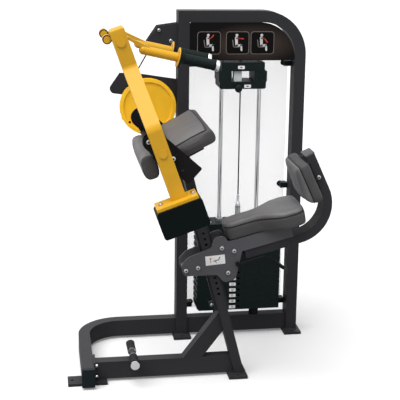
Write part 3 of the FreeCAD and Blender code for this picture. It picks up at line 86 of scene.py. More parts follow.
def whole(name, description, default):
    """A whole number."""
    return IntProperty(name=name, description=description, default=default)


def tint(name, description, default):
    """A linear colour."""
    return FloatVectorProperty(name=name, description=description, default=default, subtype="COLOR")


class PadSizes(bpy.types.PropertyGroup):
    """How the upholstery is shaped."""
    voxel: metres("Voxel", "Grid that a cushion is rebuilt on", 0.005)
    shrink: metres("Shrink", "Inset of a cushion before it swells", 0.004)
    swell: metres("Swell", "Largest move of a point while it swells", 0.0025)
    pressure: plain("Pressure", "Pressure of the foam", 4.0)
    frames: whole("Frames", "Steps of the swelling", 18)
    seam: metres("Seam", "Radius of the piped seams", 0.0028)
    elbow_rounds: whole("Elbow rounding", "Smoothing rounds, elbow pad", 14)
    stop_rounds: whole("Stop rounding", "Smoothing rounds, stop pad", 16)
    seat_rounds: whole("Seat rounding", "Smoothing rounds, seat", 30)
    back_rounds: whole("Back rounding", "Smoothing rounds, back pad", 34)
    elbow_seam: metres("Elbow seam", "Seam below the elbow pad's top", 0.010)
    elbow_plump: metres("Elbow pad fullness", "Height that the foam adds to the elbow pad", 0.005)
    back_plump: metres("Back pad fullness", "Depth that the foam adds to the back pad", 0.014)
    pinch: metres("Pinch", "How far a seam draws the cover in", 0.0035)
    pinch_reach: metres("Pinch reach", "How far from a seam the cover is drawn in", 0.012)
    end_panel: metres("End panel", "From a pad's end to its seam", 0.012)
    seat_seam: metres("Seat seam", "Seam above the seat's middle", 0.016)
    back_seam: metres("Back seam", "Seam in front of the back's middle", 0.017)
    elbow_tilt: degrees("Elbow pad tilt", "Rise of the elbow pad", 28.2)
    stop_tilt: degrees("Stop pad tilt", "Lean of the stop pad", 15.0)
    back_tilt: degrees("Back pad tilt", "Lean of the back pad", 25.0)


class TrimSizes(bpy.types.PropertyGroup):
    """Small fittings."""
    head_radius: metres("Bolt head", "Radius of a socket head", 0.0085)
    head_height: metres("Bolt dome", "Height of a socket head's dome", 0.0035)
    weld_radius: metres("Weld", "Radius of a weld bead", 0.003)
    arm_tilt: degrees("Arm tilt", "Lean of the bolts on the arm", 19.6)
    handle_tilt: degrees("Handle tilt", "Fall of the handles", 12.3)
    carriage_label_tilt: degrees("Carriage label tilt", "Rise of the carriage's label", 4.8)
    label_height: metres("Label", "Height of a weight label", 0.015)
    first_weight: whole("First weight", "Number on the top plate", 5)
    weight_step: whole("Weight step", "Step from plate to plate", 5)


class FinishColours(bpy.types.PropertyGroup):
    """Base colours of the finishes."""
    frame_paint: tint("Frame", "Matte frame paint", (0.0185, 0.0185, 0.0205))
    yellow_paint: tint("Yellow", "Yellow powder coat", (0.56, 0.300, 0.012))
    iron_paint: tint("Iron", "Weight plate paint", (0.0045, 0.0095, 0.0092))
    vinyl: tint("Vinyl", "Grey upholstery", (0.105, 0.102, 0.104))
    shroud: tint("Shroud", "Milky rear sheet", (0.70, 0.70, 0.73))


class StageSettings(bpy.types.PropertyGroup):
    """Camera and light."""
    camera_place: FloatVectorProperty(name="Camera", description="Place of the camera",
                                      subtype="TRANSLATION", default=(-0.6332, -4.6101, 1.9105))
    camera_yaw: degrees("Yaw", "Camera turn to the right", 9.748)
    camera_pitch: degrees("Pitch", "Camera tilt downwards", 14.254)
    camera_roll: degrees("Roll", "Camera roll", 0.957)
    lens: plain("Lens", "Focal length in millimetres", 95.0)
    shift: plain("Shift", "Shift of the view", -0.04)
    key_strength: plain("Key light", "Strength of the soft overhead light", 4.3)
    key_softness: degrees("Key softness", "Angle that the key light spans", 60.0)
    fill_power: plain("Fill light", "Power of the lamp on the right", 14.0)
    floor_glow: plain("Floor glow", "Whiteness added to the floor", 0.15)
    sky: plain("Sky", "Strength of the even light", 0.45)


# ---------------------------------------------------------------- materials

def node_material(name, colour, roughness, metallic=0.0, gloss=0.5):
    """A Principled material, its node tree and its shader node."""
    material = bpy.data.materials.new(name)
    material.use_nodes = True
    tree = material.node_tree
    shader = tree.nodes["Principled BSDF"]
    shader.inputs["Base Color"].default_value = (*colour, 1.0)
    shader.inputs["Roughness"].default_value = roughness
    shader.inputs["Metallic"].default_value = metallic
    shader.inputs["Specular IOR Level"].default_value = gloss
    material.diffuse_color = (*colour, 1.0)
    return material, tree, shader


def added(tree, kind, values=None, **settings):
    """A new shader node, with its settings and the values of its inputs."""
    made = tree.nodes.new("ShaderNode" + kind)
    for key, setting in settings.items():
        setattr(made, key, setting)
    for socket, value in (values or {}).items():
        made.inputs[socket].default_value = value
    return made


def wire(tree, start, output, end, socket):
    """Join an output of one node to an input of another."""
    tree.links.new(start.outputs[output], end.inputs[socket])


def object_noise(tree, scale, detail=4.0, stretch=(1.0, 1.0, 1.0)):
    """Noise on Object coordinates."""
    mapping = added(tree, "Mapping", {"Scale": stretch})
    noise = added(tree, "TexNoise", {"Scale": scale, "Detail": detail})
    wire(tree, added(tree, "TexCoord"), "Object", mapping, "Vector")
    wire(tree, mapping, "Vector", noise, "Vector")
    return noise.outputs["Fac"]


def object_cells(tree, scale):
    """Distance to the nearest cell centre, on Object coordinates."""
    cells = added(tree, "TexVoronoi", {"Scale": scale})
    wire(tree, added(tree, "TexCoord"), "Object", cells, "Vector")
    return cells.outputs["Distance"]


def vary_colour(tree, shader, fac, low, high, stops=(0.35, 0.65)):
    """The base colour runs between two colours with a factor."""
    ramp = added(tree, "ValToRGB")
    for index, (place, colour) in enumerate(zip(stops, (low, high))):
        ramp.color_ramp.elements[index].position = place
        ramp.color_ramp.elements[index].color = (*colour, 1.0)
    tree.links.new(fac, ramp.inputs["Fac"])
    wire(tree, ramp, "Color", shader, "Base Color")
    return ramp


def vary_roughness(tree, shader, fac, low, high):
    """The roughness runs between two values with a factor."""
    span = added(tree, "MapRange", {"To Min": low, "To Max": high})
    tree.links.new(fac, span.inputs["Value"])
    wire(tree, span, "Result", shader, "Roughness")


def add_bump(tree, shader, height, strength, distance):
    """Bump from a height, on top of any bump that is there."""
    bump = added(tree, "Bump", {"Strength": strength, "Distance": distance})
    socket = shader.inputs["Normal"]
    if socket.is_linked:
        tree.links.new(socket.links[0].from_socket, bump.inputs["Normal"])
    tree.links.new(height, bump.inputs["Height"])
    tree.links.new(bump.outputs["Normal"], socket)


def shade(colour, factor):
    """A darker or lighter version of a colour."""
    return tuple(min(1.0, channel * factor) for channel in colour)


def powder_coat(name, colour, roughness, edge=1.35, gloss=0.2):
    """Sprayed powder coat: fine orange peel, faint cloudiness and a painted highlight that makes
    sharp edges slightly lighter.
    """
    material, tree, shader = node_material(name, colour, roughness, gloss=gloss)
    cloud = object_noise(tree, 6.0, 3.0)
    ramp = vary_colour(tree, shader, cloud, shade(colour, 0.9), shade(colour, 1.08))
    # Painted highlight: where Pointiness marks a sharp edge, the colour is blended towards a copy
    # lightened by the factor edge.
    edges = added(tree, "MapRange", {"From Min": 0.53, "From Max": 0.62})
    edge_highlight = added(tree, "Mix", data_type="RGBA")
    edge_highlight.inputs["B"].default_value = (*shade(colour, edge), 1.0)
    wire(tree, added(tree, "NewGeometry"), "Pointiness", edges, "Value")
    wire(tree, edges, "Result", edge_highlight, "Factor")
    wire(tree, ramp, "Color", edge_highlight, "A")
    wire(tree, edge_highlight, "Result", shader, "Base Color")
    vary_roughness(tree, shader, object_noise(tree, 40.0), roughness - 0.06, roughness + 0.08)
    add_bump(tree, shader, object_noise(tree, 900.0, 2.0), 0.12, 0.0004)
    return material


def cast_iron(name, colour, gloss):
    """Hammered black-green paint on cast iron."""
    material, tree, shader = node_material(name, colour, 0.42, gloss=gloss)
    speckle = object_noise(tree, 260.0, 6.0)
    vary_colour(tree, shader, speckle, shade(colour, 0.7), shade(colour, 1.7), (0.42, 0.7))
    vary_roughness(tree, shader, object_noise(tree, 60.0), 0.34, 0.5)
    add_bump(tree, shader, object_cells(tree, 420.0), 0.22, 0.0006)
    return material


def vinyl(name, colour, gloss=0.4):
    """Grained grey upholstery vinyl with soft creases and wear in its shine."""
    material, tree, shader = node_material(name, colour, 0.5, gloss=gloss)
    vary_colour(tree, shader, object_noise(tree, 9.0, 5.0), shade(colour, 0.9), shade(colour, 1.12))
    vary_roughness(tree, shader, object_noise(tree, 22.0, 5.0), 0.42, 0.58)
    shader.inputs["Sheen Weight"].default_value = 0.03
    shader.inputs["Sheen Roughness"].default_value = 0.4
    add_bump(tree, shader, object_noise(tree, 14.0, 3.0), 0.25, 0.004)
    add_bump(tree, shader, object_cells(tree, 700.0), 0.3, 0.0005)
    return material


def rubber(name, colour, ribs=0.0, along=(1.0, 0.0, 0.0)):
    """Matte rubber with a fine grain, and ribs along a direction where wanted."""
    material, tree, shader = node_material(name, colour, 0.62, gloss=0.12)
    vary_colour(tree, shader, object_noise(tree, 120.0, 4.0), shade(colour, 0.75),
                shade(colour, 1.4))
    vary_roughness(tree, shader, object_noise(tree, 30.0), 0.52, 0.7)
    add_bump(tree, shader, object_noise(tree, 1400.0, 2.0), 0.25, 0.0004)
    if ribs:
        measure = added(tree, "VectorMath", {1: along}, operation="DOT_PRODUCT")
        pitch = added(tree, "Math", {1: 2.0 * math.pi / ribs}, operation="MULTIPLY")
        wave = added(tree, "Math", operation="SINE")
        wire(tree, added(tree, "TexCoord"), "Object", measure, 0)
        wire(tree, measure, "Value", pitch, 0)
        wire(tree, pitch, "Value", wave, 0)
        add_bump(tree, shader, wave.outputs["Value"], 0.35, 0.0006)
    return material


def metal(name, colour, roughness, stretch):
    """Bright metal with fine lines drawn out along a direction."""
    material, tree, shader = node_material(name, colour, roughness, 1.0)
    lines = object_noise(tree, 300.0, 3.0, stretch)
    vary_roughness(tree, shader, lines, roughness * 0.7, roughness * 1.4)
    vary_colour(tree, shader, object_noise(tree, 12.0), shade(colour, 0.93), shade(colour, 1.03))
    add_bump(tree, shader, lines, 0.05, 0.0002)
    return material


def moulded_plastic(name, colour, roughness, gloss=0.2):
    """Moulded plastic with a spark-eroded grain."""
    material, tree, shader = node_material(name, colour, roughness, gloss=gloss)
    vary_colour(tree, shader, object_noise(tree, 15.0), shade(colour, 0.88), shade(colour, 1.1))
    vary_roughness(tree, shader, object_noise(tree, 50.0), roughness - 0.05, roughness + 0.08)
    add_bump(tree, shader, object_noise(tree, 1100.0, 2.0), 0.15, 0.0004)
    return material


def braided_cable(name):
    """A black coated cable whose strands show through."""
    material, tree, shader = node_material(name, (0.02, 0.02, 0.022), 0.35, gloss=0.2)
    strands = object_noise(tree, 500.0, 2.0, (3.0, 3.0, 0.6))
    vary_colour(tree, shader, strands, (0.012, 0.012, 0.014), (0.05, 0.05, 0.055))
    add_bump(tree, shader, strands, 0.4, 0.0005)
    return material


def milky_sheet(name, colour):
    """A white translucent sheet with a faint haze and fine scratches."""
    material, tree, shader = node_material(name, colour, 0.3)
    vary_colour(tree, shader, object_noise(tree, 3.0), shade(colour, 0.96), shade(colour, 1.02))
    vary_roughness(tree, shader, object_noise(tree, 90.0, 4.0, (1.0, 1.0, 0.1)), 0.22, 0.4)
    shader.inputs["Alpha"].default_value = 0.2
    return material


def placard_brown(name, middle, outer):
    """A dark printed panel with a brown glow round a point of the object."""
    material, tree, shader = node_material(name, outer, 0.3, gloss=0.1)
    scale = Vector((4.4, 1.0, 11.0))
    centre = Vector((0.30, -0.0355, 1.365))
    mapping = added(tree, "Mapping", {"Scale": scale, "Location": -scale * centre})
    glow = added(tree, "TexGradient", gradient_type="SPHERICAL")
    wire(tree, added(tree, "TexCoord"), "Object", mapping, "Vector")
    wire(tree, mapping, "Vector", glow, "Vector")
    vary_colour(tree, shader, glow.outputs["Fac"], outer, middle, (0.0, 0.55))
    vary_roughness(tree, shader, object_noise(tree, 60.0), 0.24, 0.38)
    return material


def make_materials(colours):
    """Every finish of the machine, by name."""
    grip_direction = (0.977, 0.0, -0.213)
    return {
        "frame": powder_coat("frame_powder_coat", colours.frame_paint, 0.46, gloss=0.14),
        "carriage": powder_coat("carriage_powder_coat", shade(colours.frame_paint, 3.0), 0.5),
        "black": powder_coat("pivot_powder_coat", shade(colours.frame_paint, 0.3), 0.5, gloss=0.08),
        "yellow": powder_coat("yellow_powder_coat", colours.yellow_paint, 0.36, 1.12, 0.3),
        # Painted light: the cam wheel gets a copy of the yellow powder coat 1.7 times as light, as
        # if more light fell on it.
        "wheel": powder_coat("wheel_lit_powder_coat", shade(colours.yellow_paint, 1.7), 0.36, 1.12,
                             0.3),
        "iron": cast_iron("stack_iron", colours.iron_paint, 0.12),
        "counterweight": cast_iron("counterweight_iron", shade(colours.iron_paint, 0.5), 0.06),
        "vinyl": vinyl("grey_vinyl", colours.vinyl),
        # Painted shade: a much darker copy of the vinyl for the piping beads, standing in for the
        # shadow in each seam's groove.
        "seam": vinyl("seam_shade_vinyl", shade(colours.vinyl, 0.15), 0.1),
        # Painted shade: a darker, less glossy copy of the grey vinyl for the pads' sides and end
        # panels that face away from the light.
        "shaded_side_vinyl": vinyl("shaded_side_vinyl", shade(colours.vinyl, 0.5), 0.2),
        "board": powder_coat("pad_board_black", (0.008, 0.008, 0.009), 0.55, gloss=0.1),
        "grip": rubber("grip_rubber", (0.004, 0.008, 0.008), 0.006, grip_direction),
        "rubber": rubber("plain_rubber", (0.008, 0.009, 0.010)),
        "chrome": metal("polished_chrome", (0.86, 0.87, 0.88), 0.12, (1.0, 1.0, 0.1)),
        "bolt": metal("bolt_zinc", (0.50, 0.50, 0.51), 0.3, (1.0, 1.0, 1.0)),
        "steel": metal("ground_steel", (0.55, 0.56, 0.58), 0.3, (0.1, 1.0, 1.0)),
        "cap": moulded_plastic("end_cap_plastic", (0.006, 0.010, 0.012), 0.42, 0.1),
        "grey_cap": moulded_plastic("grey_cap_plastic", (0.09, 0.09, 0.095), 0.45),
        "nylon": moulded_plastic("black_nylon", (0.008, 0.008, 0.010), 0.3),
        "cable": braided_cable("coated_cable"),
        "placard": placard_brown("placard_print", (0.036, 0.026, 0.022), (0.003, 0.0025, 0.0025)),
        "placard_inset": moulded_plastic("placard_inset", (0.0022, 0.002, 0.002), 0.3, 0.08),
        "placard_border": moulded_plastic("placard_border", (0.16, 0.13, 0.115), 0.35),
        "figure": moulded_plastic("placard_figure", (0.55, 0.55, 0.56), 0.4),
        "figure_grey": moulded_plastic("label_figure", (0.20, 0.18, 0.19), 0.5),
        "accent": moulded_plastic("placard_accent", (0.45, 0.05, 0.03), 0.4),
        "label": moulded_plastic("label_white", (0.80, 0.80, 0.79), 0.45),
        "print": moulded_plastic("label_print", (0.02, 0.02, 0.02), 0.5),
        "latch": moulded_plastic("latch_grey", (0.50, 0.53, 0.53), 0.4),
        # Painted shade: near-black standing in for the shade inside bolt sockets.
        "hole": moulded_plastic("socket_painted_shade", (0.01, 0.01, 0.01), 0.7, 0.05),
        "shroud": milky_sheet("milky_shroud", colours.shroud),
    }


NODE_FINISH = {
    "frame": ("tower_frame", "rear_rails", "front_beam", "floor_plates", "footrest_bar",
              "main_post", "tower_pivot_plate", "pulley_brackets", "seat_tube", "guide_rails"),
    "black": ("pivot_plates", "axle_bearings", "cross_tube", "release_lever"),
    "carriage": ("carriage_plates",),
    "yellow": ("arm_tube", "counterweight_flange", "near_handle", "far_handle"),
    # The cam wheel takes the lit copy of the yellow paint, painted light.
    "wheel": ("cam_wheel",),
    "iron": ("resting_plates", "lifted_plates", "lower_add_on_weight", "upper_add_on_weight"),
    "counterweight": ("counterweight",),
    "vinyl": ("elbow_pad", "stop_pad", "seat_pad", "back_pad"),
    "board": ("elbow_pad_board", "back_pad_board"),
    "grip": ("near_handle_grip", "far_handle_grip"),
    "rubber": ("footrest_sleeves", "stack_buffers"),
    "chrome": ("guide_rods", "footrest_caps", "near_handle_ring", "far_handle_ring"),
    "bolt": ("frame_bolts", "carriage_bolts", "arm_bolts"),
    "steel": ("selector_stem", "arm_axles"),
    "cap": ("side_rail_cap", "add_on_knob", "selector_pin", "shroud_clips"),
    "grey_cap": ("seat_tube_cap",),
    "nylon": ("entry_pulley", "crown_pulley", "left_roller", "upper_roller", "lower_roller"),
    "cable": ("cable_upper_run", "cable_cam_span", "cable_stack_drop", "cable_on_cam"),
    "placard": ("placard_panel",),
    "shroud": ("rear_shroud",),
}

TUBE_WIDTH = 0.050       # of the uprights
BEAD_STEP = 0.006        # least distance between points of a piped seam
BEAD_CLOSE = 0.004       # a last point nearer to the first than this is dropped
STUD_LENGTH = 0.030      # carriage studs longer and narrower than these get no head
STUD_WIDTH = 0.019
THIN_HEAD = 0.0061       # a bolt thinner than this faces along its thin direction
TOWER_LEVEL = 1.2        # bolts above this lie either side of the tower's middle
GRIP_DROP = 0.017        # from a handle's swivel down to its grip line
LABEL_OFFSET = 0.028     # from the pin hole to the middle of a weight label
LABEL_WIDTH = 0.030
DIGIT_HEIGHT = 0.012
BACKING = 0.0006         # thickness of a printed plate
FOIL = 0.0004            # thickness of a print
LIFT = Matrix.Translation((0, 0, 0.0005))    # raises a print off its plate

MATERIALS = {}


# ---------------------------------------------------------------- mesh helpers

def linked(name, data):
    """A new object in the scene."""
    thing = bpy.data.objects.new(name, data)
    bpy.context.scene.collection.objects.link(thing)
    return thing


def mesh_of(name, form):
    """A new mesh from a form, which is freed."""
    mesh = bpy.data.meshes.new(name)
    form.to_mesh(mesh)
    form.free()
    return mesh


def curve_form(curve):
    """The form of a curve or of text; the curve is removed."""
    holder = linked(curve.name, curve)
    mesh = bpy.data.meshes.new_from_object(holder)
    bpy.data.objects.remove(holder)
    bpy.data.curves.remove(curve)
    form = bmesh.new()
    form.from_mesh(mesh)
    bpy.data.meshes.remove(mesh)
    return form


def node_form(name):
    """The form of a CAD node with its doubled points joined."""
    form = bmesh.new()
    form.from_mesh(NODES[name].data)
    bmesh.ops.remove_doubles(form, verts=form.verts, dist=1e-5)
    return form


def new_piece(name, form, finish, body, smooth=True):
    """A finished object from a form, with its material and its body."""
    mesh = mesh_of(name, form)
    mesh.materials.append(MATERIALS[finish])
    if smooth:
        mesh.shade_smooth()
    piece = linked(name, mesh)
    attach(piece, body)
    return piece


def add_finishes(piece, *finishes):
    """Further material slots of a piece, in order."""
    for finish in finishes:
        piece.data.materials.append(MATERIALS[finish])


def axes_matrix(right, up, origin):
    """A placement whose X is right, whose Z is up, and whose Y follows."""
    right = right.normalized()
    up = (up - right * up.dot(right)).normalized()
    side = up.cross(right)
    columns = Matrix((right, side, up)).transposed()
    return Matrix.Translation(origin) @ columns.to_4x4()


def node_islands(name):
    """The separate solids of a CAD node, as lists of points."""
    form = node_form(name)
    left = set(form.verts)
    islands = []
    while left:
        stack = [left.pop()]
        found = []
        while stack:
            vertex = stack.pop()
            found.append(vertex.co.copy())
            for edge in vertex.link_edges:
                other = edge.other_vert(vertex)
                if other in left:
                    left.discard(other)
                    stack.append(other)
        islands.append(found)
    form.free()
    return islands


def spread(points):
    """Lowest corner, highest corner and middle of a list of points."""
    low = Vector(min(point[axis] for point in points) for axis in range(3))
    high = Vector(max(point[axis] for point in points) for axis in range(3))
    return low, high, (low + high) / 2


def corners(name):
    """Lowest corner, highest corner and middle of a CAD node's box."""
    return spread([Vector(corner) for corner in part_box(name)])


def facing_viewer(x, y, z):
    """A placement with X to the right and Z towards the viewer."""
    return axes_matrix(X_AXIS, -Y_AXIS, Vector((x, y, z)))


def path_tube(name, points, radius, finish, body):
    """A round bead along a closed loop of points, as a mesh."""
    curve = bpy.data.curves.new(name + "_path", "CURVE")
    curve.dimensions = "3D"
    curve.bevel_depth = radius
    curve.bevel_resolution = 2
    spline = curve.splines.new("POLY")
    spline.points.add(len(points) - 1)
    for spot, point in zip(spline.points, points):
        spot.co = (*point, 1.0)
    spline.use_cyclic_u = True
    return new_piece(name, curve_form(curve), finish, body)


def merged(form, part, place=None, material=0):
    """Move a part's own form into a larger one, at a place and with a material index."""
    for face in part.faces:
        face.material_index = material
    mesh = mesh_of("part", part)
    stamp(form, mesh, place or Matrix.Identity(4))
    bpy.data.meshes.remove(mesh)


def stamp(form, template, place):
    """Add a copy of a template mesh at a place."""
    copy = template.copy()
    copy.transform(place)
    form.from_mesh(copy)
    bpy.data.meshes.remove(copy)


def spun(form, profile, place, steps=48):
    """Turn a profile of (radius, height) pairs about the place's Z axis."""
    part = bmesh.new()
    chain = [part.verts.new((radius, 0.0, height)) for radius, height in profile]
    edges = [part.edges.new(pair) for pair in zip(chain, chain[1:])]
    bmesh.ops.spin(part, geom=chain + edges, cent=(0, 0, 0), axis=(0, 0, 1), angle=2 * math.pi,
                   steps=steps, use_merge=True)
    bmesh.ops.remove_doubles(part, verts=part.verts, dist=1e-6)
    closed_up(part)
    merged(form, part, place)


def closed_up(form):
    """Turn every face of a closed form outwards."""
    bmesh.ops.recalc_face_normals(form, faces=form.faces)
    return form


def rounded_plate(form, place, width, height, thick, corner, material=0):
    """A thin plate with rounded corners, standing on the place's XY plane."""
    part = bmesh.new()
    plate = bmesh.ops.create_grid(part, x_segments=1, y_segments=1, size=0.5)["verts"]
    bmesh.ops.scale(part, verts=plate, vec=(width, height, 1.0))
    bmesh.ops.bevel(part, geom=plate, offset=corner, offset_type="OFFSET", affect="VERTICES",
                    segments=5, profile=0.5, material=-1)
    raised = bmesh.ops.extrude_face_region(part, geom=part.faces[:])["geom"]
    bmesh.ops.translate(part, vec=(0, 0, thick),
                        verts=[item for item in raised if isinstance(item, bmesh.types.BMVert)])
    closed_up(part)
    merged(form, part, place, material)


def socket_head_mesh(radius, height):
    """A domed bolt head with a hexagon socket; its base is at the origin and its top on +Z."""
    form = bmesh.new()
    head = bmesh.ops.create_cone(form, cap_ends=True, segments=24, radius1=radius, radius2=radius,
                                 depth=height)["verts"]
    bmesh.ops.translate(form, verts=head, vec=(0, 0, height / 2))
    rim = [edge for edge in form.edges if min(vert.co.z for vert in edge.verts) > height * 0.9]
    bmesh.ops.bevel(form, geom=rim, offset=height * 0.55, offset_type="OFFSET", affect="EDGES",
                    segments=3, profile=0.5, material=-1)
    top = [max(form.faces, key=lambda face: face.calc_center_median().z)]
    bmesh.ops.inset_region(form, faces=top, thickness=radius * 0.3)
    for vertex in top[0].verts:
        angle = math.atan2(vertex.co.y, vertex.co.x)
        sector = math.radians(60)
        reach = radius * 0.42 / math.cos(angle % sector - sector / 2)
        vertex.co = Vector((math.cos(angle) * reach, math.sin(angle) * reach, vertex.co.z))
    sunk = bmesh.ops.extrude_face_region(form, geom=top)["geom"]
    bmesh.ops.translate(form, vec=(0, 0, -height * 0.8),
                        verts=[item for item in sunk if isinstance(item, bmesh.types.BMVert)])
    closed_up(form)
    # Painted shade: faces near the axis, in the hexagon socket, take the dark second material in
    # place of the recess's shade.
    for face in form.faces:
        if face.calc_center_median().xy.length < radius * 0.5:
            face.material_index = 1
    return mesh_of("socket_head", form)


def facing(direction, origin):
    """A placement whose Z axis is a direction."""
    turn = Vector((0, 0, 1)).rotation_difference(direction.normalized())
    return Matrix.Translation(origin) @ turn.to_matrix().to_4x4()


def tilted(angle):
    """Right and up directions of a frame whose right end is raised by an angle."""
    return (Vector((math.cos(angle), 0.0, math.sin(angle))),
            Vector((-math.sin(angle), 0.0, math.cos(angle))))


# ---------------------------------------------------------------- upholstery

def grid_copy(node, name, sizes, rounds):
    """A CAD cushion rebuilt on a fine grid, rounded, and drawn in a little before it swells."""
    pad = linked(name, mesh_of(name, closed_up(node_form(node))))
    remesh = pad.modifiers.new("grid", "REMESH")
    remesh.mode = "VOXEL"
    remesh.voxel_size = sizes.voxel
    apply_modifiers(pad)
    form = bmesh.new()
    form.from_mesh(pad.data)
    for _ in range(rounds):
        bmesh.ops.smooth_vert(form, verts=form.verts, factor=0.5, use_axis_x=True,
                              use_axis_y=True, use_axis_z=True)
    form.normal_update()
    inwards = [vertex.normal * -sizes.shrink for vertex in form.verts]
    for vertex, move in zip(form.verts, inwards):
        vertex.co += move
    form.to_mesh(pad.data)
    form.free()
    return pad


def apply_modifiers(piece):
    """Bake a piece's modifiers into its mesh."""
    bpy.context.view_layer.update()
    graph = bpy.context.evaluated_depsgraph_get()
    old = piece.data
    piece.data = bpy.data.meshes.new_from_object(piece.evaluated_get(graph))
    piece.modifiers.clear()
    bpy.data.meshes.remove(old)


def swell(pad, sizes, resting):
    """Blow a cushion up with cloth pressure, hold the side it rests on, and cap each move."""
    scene = bpy.context.scene
    start = [vertex.co.copy() for vertex in pad.data.vertices]
    cloth = pad.modifiers.new("foam", "CLOTH")
    settings = cloth.settings
    settings.use_pressure = True
    settings.uniform_pressure_force = sizes.pressure
    settings.effector_weights.gravity = 0.0
    settings.quality = 5
    settings.bending_stiffness = 0.5
    cloth.point_cache.frame_start = 1
    cloth.point_cache.frame_end = sizes.frames
    for frame_number in range(1, sizes.frames + 1):
        scene.frame_set(frame_number)
    graph = bpy.context.evaluated_depsgraph_get()
    blown = bpy.data.meshes.new_from_object(pad.evaluated_get(graph))
    pad.modifiers.clear()
    scene.frame_set(1)
    for vertex, before, after in zip(pad.data.vertices, start, blown.vertices):
        move = after.co - before
        move -= resting * max(0.0, move.dot(resting))
        if move.length > sizes.swell:
            move.length = sizes.swell
        vertex.co = before + move
    bpy.data.meshes.remove(blown)


def crown(pad, up, low, high, rise):
    """A gentle crown on the upper side, highest in the middle of the cushion."""
    for vertex in pad.data.vertices:
        facing_up = max(0.0, vertex.normal.dot(up))
        share = 1.0
        for axis in (0, 1):
            middle = (low[axis] + high[axis]) / 2
            half = (high[axis] - low[axis]) / 2
            share *= max(0.0, 1.0 - ((vertex.co[axis] - middle) / half) ** 2)
        vertex.co += up * (rise * facing_up * share)


def reach_along(points, axis):
    """Lowest and highest place of points along a direction."""
    places = [point.dot(axis) for point in points]
    return min(places), max(places)


def settle(pad, node, up, plump):
    """Stretch a rounded cushion back to its CAD solid's size, and a little higher at the top."""
    solid = [vertex.co for vertex in NODES[node].data.vertices]
    for axis in (Y_AXIS.cross(up), Y_AXIS, up):
        low, high = reach_along(solid, axis)
        high += plump if axis == up else 0.0
        start, end = reach_along([vertex.co for vertex in pad.data.vertices], axis)
        for vertex in pad.data.vertices:
            place = vertex.co.dot(axis)
            vertex.co += axis * (low + (place - start) * (high - low) / (end - start) - place)


def pinch(pad, spot, normal, depth, reach):
    """Draw the cover in along a seam that lies in a plane."""
    form = bmesh.new()
    form.from_mesh(pad.data)
    form.normal_update()
    for vertex in form.verts:
        distance = abs((vertex.co - spot).dot(normal))
        if distance < reach:
            vertex.co -= vertex.normal * (depth * (1.0 - distance / reach) ** 2)
    form.to_mesh(pad.data)
    form.free()


def seam_loop(pad, spot, normal):
    """The points, in order, where a plane cuts a cushion."""
    form = bmesh.new()
    form.from_mesh(pad.data)
    made = bmesh.ops.bisect_plane(form, geom=form.verts[:] + form.edges[:] + form.faces[:],
                                  plane_co=spot, plane_no=normal, dist=1e-6)["geom_cut"]
    edges = {item for item in made if isinstance(item, bmesh.types.BMEdge)}
    vertex = min(edges, key=lambda edge: edge.verts[0].co.x).verts[0]
    points = [vertex.co.copy()]
    seen = set()
    while True:
        onwards = [edge for edge in vertex.link_edges if edge in edges and edge not in seen]
        if not onwards:
            break
        seen.add(onwards[0])
        vertex = onwards[0].other_vert(vertex)
        points.append(vertex.co.copy())
    form.free()
    spaced = [points[0]]
    for point in points[1:]:
        if (point - spaced[-1]).length > BEAD_STEP:
            spaced.append(point)
    if (spaced[0] - spaced[-1]).length < BEAD_CLOSE:
        spaced.pop()
    return spaced


def finish_pad(pad, node, body, seams, sizes, side=None):
    """Material, seams and subdivision of one cushion."""
    pad.data.materials.clear()
    add_finishes(pad, "vinyl", "shaded_side_vinyl")
    for spot, normal in seams:
        pinch(pad, spot, normal, sizes.pinch, sizes.pinch_reach)
    beads = [seam_loop(pad, spot, normal) for spot, normal in seams]
    # Painted shade: faces where side() holds take the darker side vinyl.
    if side:
        for polygon in pad.data.polygons:
            polygon.material_index = 1 if side(polygon.center) else 0
    pad.data.shade_smooth()
    subdivide = pad.modifiers.new("smooth", "SUBSURF")
    subdivide.levels = 1
    subdivide.render_levels = 1
    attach(pad, body)
    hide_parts(node)
    # The piping beads are real; their near-black seam finish is painted shade of the groove.
    for index, points in enumerate(beads):
        path_tube(f"{pad.name}_piping_{index + 1}", points, sizes.seam, "seam", body)


def make_pad(node, name, body, up, rise, seams, rounds, side, plump=0.0):
    """One cushion from its CAD solid, resting on the side away from its up direction."""
    sizes = bpy.context.scene.pad_sizes
    low, high, _ = corners(node)
    pad = grid_copy(node, name, sizes, rounds)
    swell(pad, sizes, -up)
    crown(pad, up, low, high, rise)
    settle(pad, node, up, plump)
    finish_pad(pad, node, body, seams, sizes, side)


class PAD_OT_elbow(bpy.types.Operator):
    """Broad elbow pad with a piped seam round its top"""
    bl_idname = "pad.elbow"
    bl_label = "Elbow pad"

    def execute(self, context):
        """Make the pad."""
        sizes = context.scene.pad_sizes
        up = tilted(sizes.elbow_tilt)[1]
        top = reach_along([vertex.co for vertex in NODES["elbow_pad"].data.vertices], up)[1]
        level = top + sizes.elbow_plump - sizes.elbow_seam
        # Painted shade: the lambda gives the faces below the seam the darker side vinyl.
        make_pad("elbow_pad", "elbow_cushion", "frame", up, 0.007, [(up * level, up)],
                 sizes.elbow_rounds, lambda centre: centre.dot(up) < level, sizes.elbow_plump)
        return {"FINISHED"}


class PAD_OT_stop(bpy.types.Operator):
    """Upright pad behind the elbow axis"""
    bl_idname = "pad.stop"
    bl_label = "Stop pad"

    def execute(self, context):
        """Make the pad."""
        sizes = context.scene.pad_sizes
        right = tilted(sizes.stop_tilt)[0]
        low, high, _ = corners("stop_pad")
        ends = (low.y + sizes.end_panel, high.y - sizes.end_panel)
        seams = [(Vector((0.0, end, 0.0)), Y_AXIS) for end in ends]
        # Painted shade: the lambda gives the end panels beyond the seams the darker side vinyl.
        make_pad("stop_pad", "stop_cushion", "frame", -right, 0.0, seams, sizes.stop_rounds,
                 lambda centre: not ends[0] < centre.y < ends[1])
        return {"FINISHED"}


